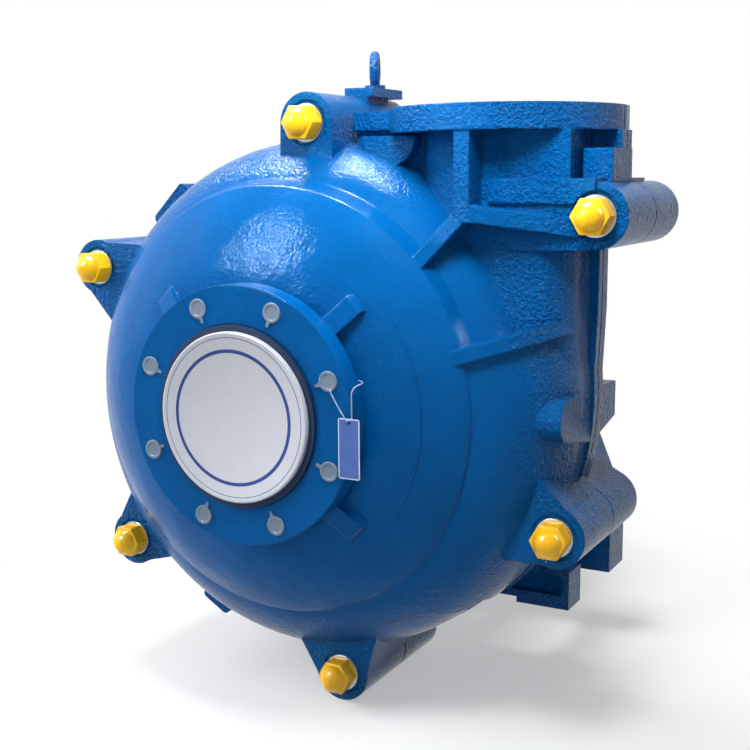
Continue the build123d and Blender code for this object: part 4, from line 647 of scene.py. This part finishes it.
@dataclass
class MaterialShop:
    """Builds one material for each finish out of the shared groups.

    Attributes:
        groups: The shared groups.
        coat_roughness: Roughness of the clear coat.
        tone_ends: Values of the mask between which the low colour turns into the main one.
        rough_ends: Values of the mask between which the roughness grows.
        least_rough: Least roughness over the finish's own.
        most_rough: Most roughness over the finish's own.
    """

    groups: dict[Effect, bpy.types.NodeTree]
    coat_roughness: float = 0.05
    tone_ends: tuple[float, float] = (0.35, 0.62)
    rough_ends: tuple[float, float] = (0.3, 0.7)
    least_rough: float = 0.8
    most_rough: float = 1.3

    def build(self) -> dict[str, bpy.types.Material]:
        """Make every material.

        Returns:
            The materials by slot name.
        """
        return {finish.slot: self._material(finish) for finish in FINISHES}

    def _group(
        self, graph: Graph, effect: Effect, inputs: dict[str | int, Feed]
    ) -> bpy.types.NodeOutputs:
        """Add a shared group to a material.

        Args:
            graph: Graph of the material.
            effect: Which group.
            inputs: Socket or constant for each of its inputs.

        Returns:
            The sockets of its outputs.
        """
        node = graph.tree.nodes.new("ShaderNodeGroup")
        node.node_tree = self.groups[effect]
        graph.feed(node, inputs)
        return node.outputs

    def _material(self, finish: Finish) -> bpy.types.Material:
        """Make the material of a finish.

        Args:
            finish: The finish.

        Returns:
            Its material.
        """
        material = bpy.data.materials.new(finish.slot + "_finish")
        material.use_nodes = True
        graph = Graph(material.node_tree)
        edge = self._group(graph, Effect.SOFT_EDGE, {"Radius": finish.edge})
        bumps = {"Grain": finish.grain, "Relief": finish.relief, "Normal": edge["Normal"]}
        grain = self._group(graph, finish.skin, bumps)
        normal = grain["Normal"]
        if finish.turned:
            lines = {"Strength": finish.turned, "Normal": normal}
            normal = self._group(graph, Effect.TURNED, lines)["Normal"]
        tone = graph.spread(grain["Mask"], self.tone_ends)
        colour = graph.mix("RGBA", tone, (*finish.low, 1.0), (*finish.colour, 1.0))
        dust = self._group(graph, Effect.DUST, {"Amount": finish.dust})["Mask"]
        colour = graph.mix("RGBA", dust, colour, DUST_COLOUR)
        if finish.printed is Print.RINGS:
            colour = self._rings(graph, colour)
        elif finish.printed is Print.FIELD:
            colour = self._field(graph, colour)
        least, most = finish.roughness * self.least_rough, finish.roughness * self.most_rough
        graph.feed(
            material.node_tree.nodes["Principled BSDF"],
            {
                "Base Color": colour,
                "Roughness": graph.spread(grain["Mask"], self.rough_ends, least, most),
                "Metallic": finish.metallic,
                "Normal": normal,
                "Specular IOR Level": finish.specular,
                "Specular Tint": (*finish.glint, 1.0),
                "Coat Weight": finish.coat,
                "Coat Roughness": self.coat_roughness,
                "Coat Normal": normal,
            },
        )
        return material

    @staticmethod
    def _rings(graph: Graph, colour: bpy.types.NodeSocket) -> bpy.types.NodeSocket:
        """Draw the navy rings on the intake disc, measured from the shaft axis.

        Args:
            graph: Graph of the disc's material.
            colour: Its colour so far.

        Returns:
            Its colour with the rings.
        """
        share = graph.math("DIVIDE", graph.shaft_distance(graph.place()), RING_SPAN)
        ramp = graph.add("ShaderNodeValToRGB", {"Fac": share})
        stops = ramp.color_ramp
        stops.interpolation = "CONSTANT"
        stops.elements[0].position = 0.0
        stops.elements[0].color = BLACK
        stops.elements.remove(stops.elements[1])
        for inner, outer in RINGS:
            for radius, shade in ((inner, WHITE), (outer, BLACK)):
                stops.elements.new(radius / RING_SPAN).color = shade
        return graph.mix("RGBA", ramp.outputs["Color"], colour, RING_COLOUR)

    @staticmethod
    def _field(graph: Graph, colour: bpy.types.NodeSocket) -> bpy.types.NodeSocket:
        """Leave a white margin round the printed field of the tag.

        Args:
            graph: Graph of the tag's material.
            colour: Colour of the field.

        Returns:
            Colour with the margin.
        """
        low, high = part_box("hang_tag")
        split = graph.add("ShaderNodeSeparateXYZ", {"Vector": graph.place()}).outputs
        within = []
        for name, start, end in (("X", low.x, high.x), ("Z", low.z, high.z)):
            near = graph.math("COMPARE", split[name], (start + end) / 2)
            near.node.inputs[2].default_value = (end - start) / 2 - TAG_MARGIN
            within.append(near)
        return graph.mix("RGBA", graph.math("MULTIPLY", *within), PAPER_COLOUR, colour)


@dataclass
class Workshop:
    """Turns finished bmeshes into pieces that ride on the frame.

    Attributes:
        materials: Finishes by slot.
    """

    materials: dict[str, bpy.types.Material]

    def piece(
        self, name: str, shape: bmesh.types.BMesh, slot: str, stands_for: tuple[str, ...]
    ) -> bpy.types.Object:
        """Make a piece of a bmesh, dress it and put it on the casing's body.

        Args:
            name: Name of the piece.
            shape: Its bmesh, in metres in the row frame; it is freed here.
            slot: Material slot that its finish belongs to.
            stands_for: CAD nodes that it replaces.

        Returns:
            The new object.
        """
        bmesh.ops.recalc_face_normals(shape, faces=shape.faces)
        mesh = bpy.data.meshes.new(name)
        shape.to_mesh(mesh)
        shape.free()
        for face in mesh.polygons:
            face.use_smooth = True
        mesh.set_sharp_from_angle(angle=SHARP_ANGLE)
        item = bpy.data.objects.new(name, mesh)
        self.place(item, slot, stands_for)
        return item

    def place(self, item: bpy.types.Object, slot: str, stands_for: tuple[str, ...]) -> None:
        """Dress a piece and put it on the casing's body in place of its CAD nodes.

        Args:
            item: The piece.
            slot: Material slot that its finish belongs to.
            stands_for: CAD nodes that it replaces.
        """
        item.data.materials.append(self.materials[slot])
        bpy.context.scene.collection.objects.link(item)
        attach(item, ROOT_BODY)
        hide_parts(*stands_for)
        LOG.info("%s stands for %s", item.name, ", ".join(stands_for))

    @staticmethod
    def spin(shape: bmesh.types.BMesh, profile: tuple[tuple[float, float], ...], steps: int) -> None:
        """Spin a profile a full turn about an axis along Y.

        Args:
            shape: Bmesh that the turned shape is added to.
            profile: Points as radius and y, from the axis outwards and back to it.
            steps: Number of steps of the turn.
        """
        verts = [shape.verts.new((radius, y, 0.0)) for radius, y in profile]
        edges = [shape.edges.new(pair) for pair in zip(verts, verts[1:])]
        bmesh.ops.spin(
            shape,
            geom=verts + edges,
            cent=(0.0, 0.0, 0.0),
            axis=(0.0, 1.0, 0.0),
            angle=math.tau,
            steps=steps,
            use_merge=True,
        )
        bmesh.ops.remove_doubles(shape, verts=shape.verts, dist=1e-6)

    @staticmethod
    def thicken(shape: bmesh.types.BMesh, faces: list[bmesh.types.BMFace], depth: float) -> None:
        """Give flat faces a thickness along Y.

        Args:
            shape: Bmesh of the faces.
            faces: The faces.
            depth: How far their copies move along Y.
        """
        grown = bmesh.ops.extrude_face_region(shape, geom=faces)
        moved = [v for v in grown["geom"] if isinstance(v, bmesh.types.BMVert)]
        bmesh.ops.translate(shape, verts=moved, vec=(0.0, depth, 0.0))

    @staticmethod
    def merge(whole: bmesh.types.BMesh, part: bmesh.types.BMesh) -> None:
        """Add a finished part to a bmesh, and free the part.

        Args:
            whole: Bmesh that grows.
            part: The part.
        """
        mesh = bpy.data.meshes.new("part")
        part.to_mesh(mesh)
        part.free()
        whole.from_mesh(mesh)
        bpy.data.meshes.remove(mesh)


@dataclass
class BoltCaps:
    """Moulded caps over the heads of the casing bolts.

    Attributes:
        across_flats: Width of the hexagon across its flats.
        skirt: Length of the hexagon.
        ball_radius: Radius of the rounded end.
        ball_inset: How far the ball's centre lies behind the skirt's nose.
        ball_edge: How far the ball's last ring lies in front of its centre.
        soft_edge: Radius of the moulded edges.
        arc_steps: Steps of the ball's arc.
        turn_steps: Steps of the ball's turn.
    """

    across_flats: float = 0.044
    skirt: float = 0.024
    ball_radius: float = 0.0195
    ball_inset: float = 0.004
    ball_edge: float = 0.001
    soft_edge: float = 0.0016
    arc_steps: int = 14
    turn_steps: int = 48

    def build(self, shop: Workshop) -> None:
        """Make a cap on each casing bolt.

        Args:
            shop: Workshop that places the piece.
        """
        shape = bmesh.new()
        for low, high in islands("bolt_caps"):
            middle = (low + high) / 2
            for part in (self._hexagon(), self._ball()):
                bmesh.ops.translate(part, verts=part.verts, vec=(middle.x, high.y, middle.z))
                shop.merge(shape, part)
        shop.piece("moulded_bolt_caps", shape, "yellow_cap", ("bolt_caps",))

    def _hexagon(self) -> bmesh.types.BMesh:
        """Make the hexagon of a cap, with soft edges all round its nose.

        Returns:
            Its bmesh, with the face that rests on the washer at the origin.
        """
        cap = bmesh.new()
        corner_radius = self.across_flats / math.sqrt(3.0)
        quarter = math.radians(90.0)
        upright = Matrix.Rotation(quarter, 4, "X") @ Matrix.Rotation(quarter, 4, "Z")
        made = bmesh.ops.create_circle(cap, cap_ends=True, segments=6, radius=corner_radius, matrix=upright)
        Workshop.thicken(cap, list(cap.faces), -self.skirt)
        back = set(made["verts"])
        edges = [e for e in cap.edges if not all(v in back for v in e.verts)]
        bmesh.ops.bevel(
            cap, geom=edges, offset=self.soft_edge, segments=3, profile=0.5, affect="EDGES", material=-1
        )
        return cap

    def _ball(self) -> bmesh.types.BMesh:
        """Make the rounded end of a cap.

        Returns:
            Its bmesh, in the same place as the hexagon's.
        """
        centre = self.ball_inset - self.skirt
        opening = math.acos(self.ball_edge / self.ball_radius)
        angles = [opening * step / self.arc_steps for step in range(self.arc_steps + 1)]
        arc = [(self.ball_radius * math.sin(a), centre - self.ball_radius * math.cos(a)) for a in angles]
        ball = bmesh.new()
        Workshop.spin(ball, (*arc, (0.0, arc[-1][1])), self.turn_steps)
        return ball


@dataclass
class FlangePlugs:
    """Moulded plugs in the holes of the intake flange.

    Attributes:
        count: Number of holes.
        circle_radius: Radius of the hole circle.
        profile: Radius and depth behind the head's front, from the middle outwards.
        turn_steps: Steps of the plug's turn.
        tab_width: Width of the pull tab at its root.
        tab_root: How far the tab's root lies from the plug's middle.
        tab_reach: How far the tab's tip lies from the plug's middle.
        tab_depth: Depth of the tab's front behind the head's front.
        tab_thickness: Thickness of the tab.
    """

    count: int = 8
    circle_radius: float = 0.14925
    profile: tuple[tuple[float, float], ...] = (
        (0.0, 0.0011),
        (0.0084, 0.0011),
        (0.0094, 0.0002),
        (0.0098, 0.0),
        (0.0120, 0.0),
        (0.0127, 0.0003),
        (0.0130, 0.0009),
        (0.0130, 0.0020),
        (0.0108, 0.0022),
        (0.0105, 0.0150),
        (0.0, 0.0150),
    )
    turn_steps: int = 40
    tab_width: float = 0.006
    tab_root: float = 0.0115
    tab_reach: float = 0.0198
    tab_depth: float = 0.0004
    tab_thickness: float = 0.0014

    def build(self, shop: Workshop) -> None:
        """Make every plug, each with its pull tab towards the shaft.

        Args:
            shop: Workshop that places the piece.
        """
        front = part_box("flange_hole_plugs")[0].y
        shape = bmesh.new()
        for number in range(self.count):
            plug = bmesh.new()
            Workshop.spin(plug, self.profile, self.turn_steps)
            self._add_tab(plug)
            lift = Matrix.Translation((0.0, front, self.circle_radius))
            turn = Matrix.Rotation(math.tau * (number + 0.5) / self.count, 4, "Y")
            bmesh.ops.transform(plug, matrix=turn @ lift, verts=plug.verts)
            bmesh.ops.translate(plug, verts=plug.verts, vec=(0.0, 0.0, SHAFT_HEIGHT))
            shop.merge(shape, plug)
        shop.piece("moulded_flange_plugs", shape, "plug", ("flange_hole_plugs",))

    def _add_tab(self, plug: bmesh.types.BMesh) -> None:
        """Add the tapered pull tab below the head.

        Args:
            plug: Bmesh of one plug, round an axis along Y.
        """
        half, tip = self.tab_width / 2, self.tab_width / 4
        root, reach = -self.tab_root, -self.tab_reach
        corners = ((-half, root), (half, root), (tip, reach), (-tip, reach))
        verts = [plug.verts.new((x, self.tab_depth, z)) for x, z in corners]
        Workshop.thicken(plug, [plug.faces.new(verts)], self.tab_thickness)


@dataclass
class IntakeDisc:
    """Printed disc with a rolled edge that closes the intake.

    Attributes:
        radius: Outer radius.
        thickness: Depth of the disc behind its edge's front.
        edge: Radius of the rolled edge.
        edge_step: Degrees between the points of the rolled edge.
        dish: How far the printed face lies behind the edge.
        rim: Width of the rolled rim.
        slope: Width of the step from the rim down to the printed face.
        slope_top: How far the top of that step lies behind the edge's front.
        spigot_outer: Outer radius of the spigot behind the disc.
        spigot_inner: Its inner radius.
        turn_steps: Steps of the turn.
    """

    radius: float = 0.112
    thickness: float = 0.007
    edge: float = 0.002
    edge_step: int = 15
    dish: float = 0.0006
    rim: float = 0.0035
    slope: float = 0.001
    slope_top: float = 0.0001
    spigot_outer: float = 0.1045
    spigot_inner: float = 0.0995
    turn_steps: int = 128

    def build(self, shop: Workshop) -> None:
        """Make the disc with its spigot.

        Args:
            shop: Workshop that places the piece.
        """
        low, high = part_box("inlet_cover_disc")
        front, end = low.y, high.y
        back, face, inner = front + self.thickness, front + self.dish, self.radius - self.rim
        angles = [math.radians(a) for a in range(0, 91, self.edge_step)]
        roll = [
            (self.radius - self.edge + self.edge * math.sin(a), front + self.edge - self.edge * math.cos(a))
            for a in angles
        ]
        profile = (
            (0.0, face),
            (inner - self.slope, face),
            (inner, front + self.slope_top),
            *roll,
            (self.radius, back),
            (self.spigot_outer, back),
            (self.spigot_outer, end),
            (self.spigot_inner, end),
            (self.spigot_inner, back),
            (0.0, back),
        )
        shape = bmesh.new()
        Workshop.spin(shape, profile, self.turn_steps)
        bmesh.ops.translate(shape, verts=shape.verts, vec=(0.0, 0.0, SHAFT_HEIGHT))
        shop.piece("printed_intake_disc", shape, "cover_disc", ("inlet_cover_disc",))


@dataclass
class TagString:
    """Thin string that holds the tag: through a flange hole, behind the rim and back.

    Attributes:
        diameter: Thickness of the string.
        length: Its length along the curve. Not used.
        route: Control points of its curve, as in the part's source.
        order: Order of the curve.
        curve_steps: Steps between two control points.
        round_steps: Steps of a quarter of the string's section.
    """

    diameter: float = 0.0016
    length: float = 0.19
    route: tuple[Point, ...] = (
        (0.1700, -0.5456, 0.3554),
        (0.1695, -0.5515, 0.3554),
        (0.1627, -0.5505, 0.3637),
        (0.1519, -0.5488, 0.3781),
        (0.1411, -0.5472, 0.3943),
        (0.1411, -0.5228, 0.3943),
        (0.1379, -0.5060, 0.4021),
        (0.1736, -0.5060, 0.3981),
        (0.1736, -0.5472, 0.3981),
        (0.1730, -0.5460, 0.3753),
        (0.1724, -0.5448, 0.3554),
    )
    order: int = 3
    curve_steps: int = 12
    round_steps: int = 3

    def build(self, shop: Workshop) -> None:
        """Args:
            shop: Workshop that places the piece.
        """
        curve = bpy.data.curves.new("tag_cord", "CURVE")
        curve.dimensions = "3D"
        curve.bevel_depth = self.diameter / 2
        curve.bevel_resolution = self.round_steps
        curve.resolution_u = self.curve_steps
        curve.use_fill_caps = True
        spline = curve.splines.new("NURBS")
        spline.points.add(len(self.route) - 1)
        for point, place in zip(spline.points, self.route):
            point.co = (*place, 1.0)
        spline.order_u = self.order
        spline.use_endpoint_u = True
        item = bpy.data.objects.new("tag_cord", curve)
        shop.place(item, "tag_string", ("tag_string",))


def islands(node: str) -> list[tuple[Vector, Vector]]:
    """Find the separate solids of a CAD node.

    Args:
        node: Name of the node.

    Returns:
        Lowest and highest corner of each solid, in metres.
    """
    copy = bmesh.new()
    copy.from_mesh(bpy.data.objects[node].data)
    bmesh.ops.remove_doubles(copy, verts=copy.verts, dist=1e-5)
    seen: set[bmesh.types.BMVert] = set()
    found = []
    for first in copy.verts:
        if first in seen:
            continue
        seen.add(first)
        group, waiting = [], [first]
        while waiting:
            vert = waiting.pop()
            group.append(vert.co.copy())
            for edge in vert.link_edges:
                other = edge.other_vert(vert)
                if other not in seen:
                    seen.add(other)
                    waiting.append(other)
        low, high = (Vector([pick(p[axis] for p in group) for axis in range(3)]) for pick in (min, max))
        found.append((low, high))
    copy.free()
    LOG.info("%s has %d solids", node, len(found))
    return found


@dataclass
class Dressing:
    """Puts the finishes on the CAD nodes.

    Attributes:
        materials: Finishes by slot.
    """

    frame: dict
    materials: dict[str, bpy.types.Material]

    def apply(self) -> None:
        """Give each CAD node the material of its record slot."""
        slots = {s["node"]: s["material_slot"] for s in self.frame["record"]["subparts"]}
        for name, node in self.frame["nodes"].items():
            material = self.materials[slots[name]]
            if not node.data.materials:
                node.data.materials.append(material)
            for index in range(len(node.data.materials)):
                node.data.materials[index] = material
        LOG.info("dressed %d nodes", len(self.frame["nodes"]))


@dataclass(frozen=True)
class Lamp:
    """A rectangular lamp.

    Attributes:
        name: Name of the lamp.
        place: Where it stands.
        aim: Where it points.
        wide: Width of its panel.
        high: Height of its panel.
        power: Power in watts.
        mirrored: Whether it is only mirrored, or else only lights dull surfaces.
    """

    name: str
    place: Point
    aim: Point
    wide: float
    high: float
    power: float
    mirrored: bool = False


LAMPS: tuple[Lamp, ...] = (
    Lamp("key", (0.35, -0.78, 1.2), (0.3, -0.1, 0.7), 0.3, 0.3, 11.0),
    Lamp("left_front", (-1.6, -1.9, 1.3), (0.0, -0.35, 0.4), 0.9, 0.9, 16.0),
    Lamp("left", (-2.2, -0.9, 1.2), (0.0, -0.2, 0.4), 1.0, 1.4, 58.0),
    Lamp("front", (0.8, -2.3, 0.8), (0.3, -0.1, 0.6), 0.9, 0.9, 7.0),
    Lamp("window", (-1.3, -2.4, 2.1), (0.1, -0.35, 0.5), 0.3, 1.5, 170.0, mirrored=True),
    Lamp("lamp_left", (-1.0, -0.1, 2.7), (0.0, -0.3, 0.4), 0.4, 0.8, 170.0, mirrored=True),
    Lamp("lamp_right", (-0.15, 0.1, 2.9), (0.1, -0.3, 0.4), 0.3, 0.8, 130.0, mirrored=True),
    Lamp("right_strip", (2.3, 0.3, 1.7), (0.3, -0.2, 0.5), 0.16, 1.2, 50.0, mirrored=True),
    Lamp("top", (-0.5, -0.2, 2.7), (0.0, -0.3, 0.4), 1.0, 1.0, 70.0),
)


@dataclass
class Studio:
    """Floor, background, lights and camera.

    Attributes:
        floor_z: Height of the floor.
        floor_radius: Radius of the floor.
        floor_segments: Sides of the floor's edge.
        floor_colour: Colour of the floor under the pump.
        floor_roughness: Its roughness.
        floor_specular: Its specular level.
        floor_bounce: Colour with which the floor lights the pump.
        glow_shift: What brings the middle of the floor's shadows to the origin.
        glow_ends: Distances from there between which the floor fades into the background.
        glow_least: Share of the background's white close to the pump.
        world_strength: Strength with which the world lights the pump.
        world_low: Its colour near and below the horizon.
        world_fade: Heights between which it turns from that colour to white.
        camera_place: Where the camera stands.
        azimuth: Its turn about the vertical.
        elevation: Its height angle.
        roll: Its turn about its own axis.
        lens: Focal length in millimetres.
        sensor: Width of the sensor in millimetres.
    """

    floor_z: float
    floor_radius: float = 9.0
    floor_segments: int = 96
    floor_colour: Colour = (0.9, 0.9, 0.9)
    floor_roughness: float = 0.5
    floor_specular: float = 0.2
    floor_bounce: Colour = (0.4, 0.4, 0.4)
    glow_shift: Point = (-0.1, 0.1, 0.0)
    glow_ends: tuple[float, float] = (0.25, 0.95)
    glow_least: float = 0.4
    world_strength: float = 0.3
    world_low: Colour = (0.3, 0.3, 0.31)
    world_fade: tuple[float, float] = (0.3, 0.95)
    camera_place: Point = (0.8847, -1.7937, 0.6516)
    azimuth: float = 0.4983
    elevation: float = 0.1646
    roll: float = -0.0063
    lens: float = 57.6
    sensor: float = 36.0

    def build(self) -> None:
        """Set up the whole studio."""
        self._world()
        self._floor()
        for lamp in LAMPS:
            self._light(lamp)
        self._camera()
        LOG.info("studio with %d lamps", len(LAMPS))

    def _world(self) -> None:
        """Make the world: a white background, and a dimmer one that lights the pump."""
        world = bpy.data.worlds.new("studio")
        world.use_nodes = True
        bpy.context.scene.world = world
        graph = Graph(world.node_tree)
        graph.tree.nodes.clear()
        seen = graph.add("ShaderNodeBackground", {"Color": WHITE})
        place = graph.add("ShaderNodeTexCoord").outputs["Generated"]
        height = graph.add("ShaderNodeSeparateXYZ", {"Vector": place}).outputs["Z"]
        ramp = graph.add("ShaderNodeValToRGB", {"Fac": height})
        shades = ((*self.world_low, 1.0), WHITE)
        for stop, where, shade in zip(ramp.color_ramp.elements, self.world_fade, shades):
            stop.position = where
            stop.color = shade
        dim = {"Color": ramp.outputs["Color"], "Strength": self.world_strength}
        lit = graph.add("ShaderNodeBackground", dim)
        both = graph.mix_shaders(
            graph.background_rays(), lit.outputs["Background"], seen.outputs["Background"]
        )
        graph.add("ShaderNodeOutputWorld", {"Surface": both})

    def _floor(self) -> None:
        """Lay the floor, which shows shadows near the pump and white farther out."""
        mesh = bpy.data.meshes.new("floor")
        shape = bmesh.new()
        bmesh.ops.create_circle(
            shape, cap_ends=True, segments=self.floor_segments, radius=self.floor_radius
        )
        shape.to_mesh(mesh)
        shape.free()
        mesh.transform(Matrix.Translation((0.0, 0.0, self.floor_z)))
        floor = bpy.data.objects.new("floor", mesh)
        bpy.context.scene.collection.objects.link(floor)
        material = bpy.data.materials.new("pale_floor")
        material.use_nodes = True
        graph = Graph(material.node_tree)
        plain = graph.tree.nodes["Principled BSDF"]
        graph.feed(
            plain,
            {
                "Base Color": (*self.floor_colour, 1.0),
                "Roughness": self.floor_roughness,
                "Specular IOR Level": self.floor_specular,
            },
        )
        glow = graph.add("ShaderNodeEmission", {"Color": WHITE, "Strength": 1.0})
        away = graph.distance(graph.place(), self.glow_shift, (1.0, 1.0, 0.0))
        fade = graph.spread(away, self.glow_ends, self.glow_least, smooth=True)
        rays = graph.background_rays()
        share = graph.math("MULTIPLY", fade, rays)
        shown = graph.mix_shaders(share, plain.outputs["BSDF"], glow.outputs["Emission"])
        bounce = graph.add("ShaderNodeBsdfDiffuse", {"Color": (*self.floor_bounce, 1.0)})
        both = graph.mix_shaders(rays, bounce.outputs["BSDF"], shown)
        graph.feed(graph.tree.nodes["Material Output"], {"Surface": both})
        mesh.materials.append(material)
        floor.visible_glossy = False
        floor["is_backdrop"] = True

    @staticmethod
    def _light(lamp: Lamp) -> None:
        """Add a lamp.

        Args:
            lamp: The lamp.
        """
        data = bpy.data.lights.new(lamp.name, "AREA")
        data.shape = "RECTANGLE"
        data.size = lamp.wide
        data.size_y = lamp.high
        data.energy = lamp.power
        light = bpy.data.objects.new(lamp.name, data)
        light.location = lamp.place
        light.visible_glossy = lamp.mirrored
        light.visible_diffuse = not lamp.mirrored
        look = Vector(lamp.aim) - Vector(lamp.place)
        light.rotation_euler = look.to_track_quat("-Z", "Y").to_euler()
        bpy.context.scene.collection.objects.link(light)
        light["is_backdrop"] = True

    def _camera(self) -> None:
        """Set up the camera as it was fitted to the photograph."""
        data = bpy.data.cameras.new("camera")
        data.lens = self.lens
        data.sensor_width = self.sensor
        camera = bpy.data.objects.new("camera", data)
        turn, tilt, roll = self.azimuth, self.elevation, self.roll
        back = Vector((math.sin(turn) * math.cos(tilt), -math.cos(turn) * math.cos(tilt), math.sin(tilt)))
        right = Vector((math.cos(turn), math.sin(turn), 0.0))
        up = back.cross(right)
        across = math.cos(roll) * right + math.sin(roll) * up
        rise = -math.sin(roll) * right + math.cos(roll) * up
        axes = Matrix((across, rise, back)).transposed()
        camera.matrix_world = Matrix.Translation(self.camera_place) @ axes.to_4x4()
        bpy.context.scene.collection.objects.link(camera)
        bpy.context.scene.camera = camera


def main() -> None:
    """Build the scene."""
    logging.basicConfig(level=logging.INFO)
    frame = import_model()
    cad_low, cad_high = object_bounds()
    Studio(cad_low.z - FLOOR_GAP).build()
    materials = MaterialShop(GroupShop().build()).build()
    Dressing(frame, materials).apply()
    shop = Workshop(materials)
    for part in (TagString(), BoltCaps(), FlangePlugs(), IntakeDisc()):
        part.build(shop)
    bpy.context.scene.view_settings.view_transform = "Standard"


if __name__ == "__main__":
    main()
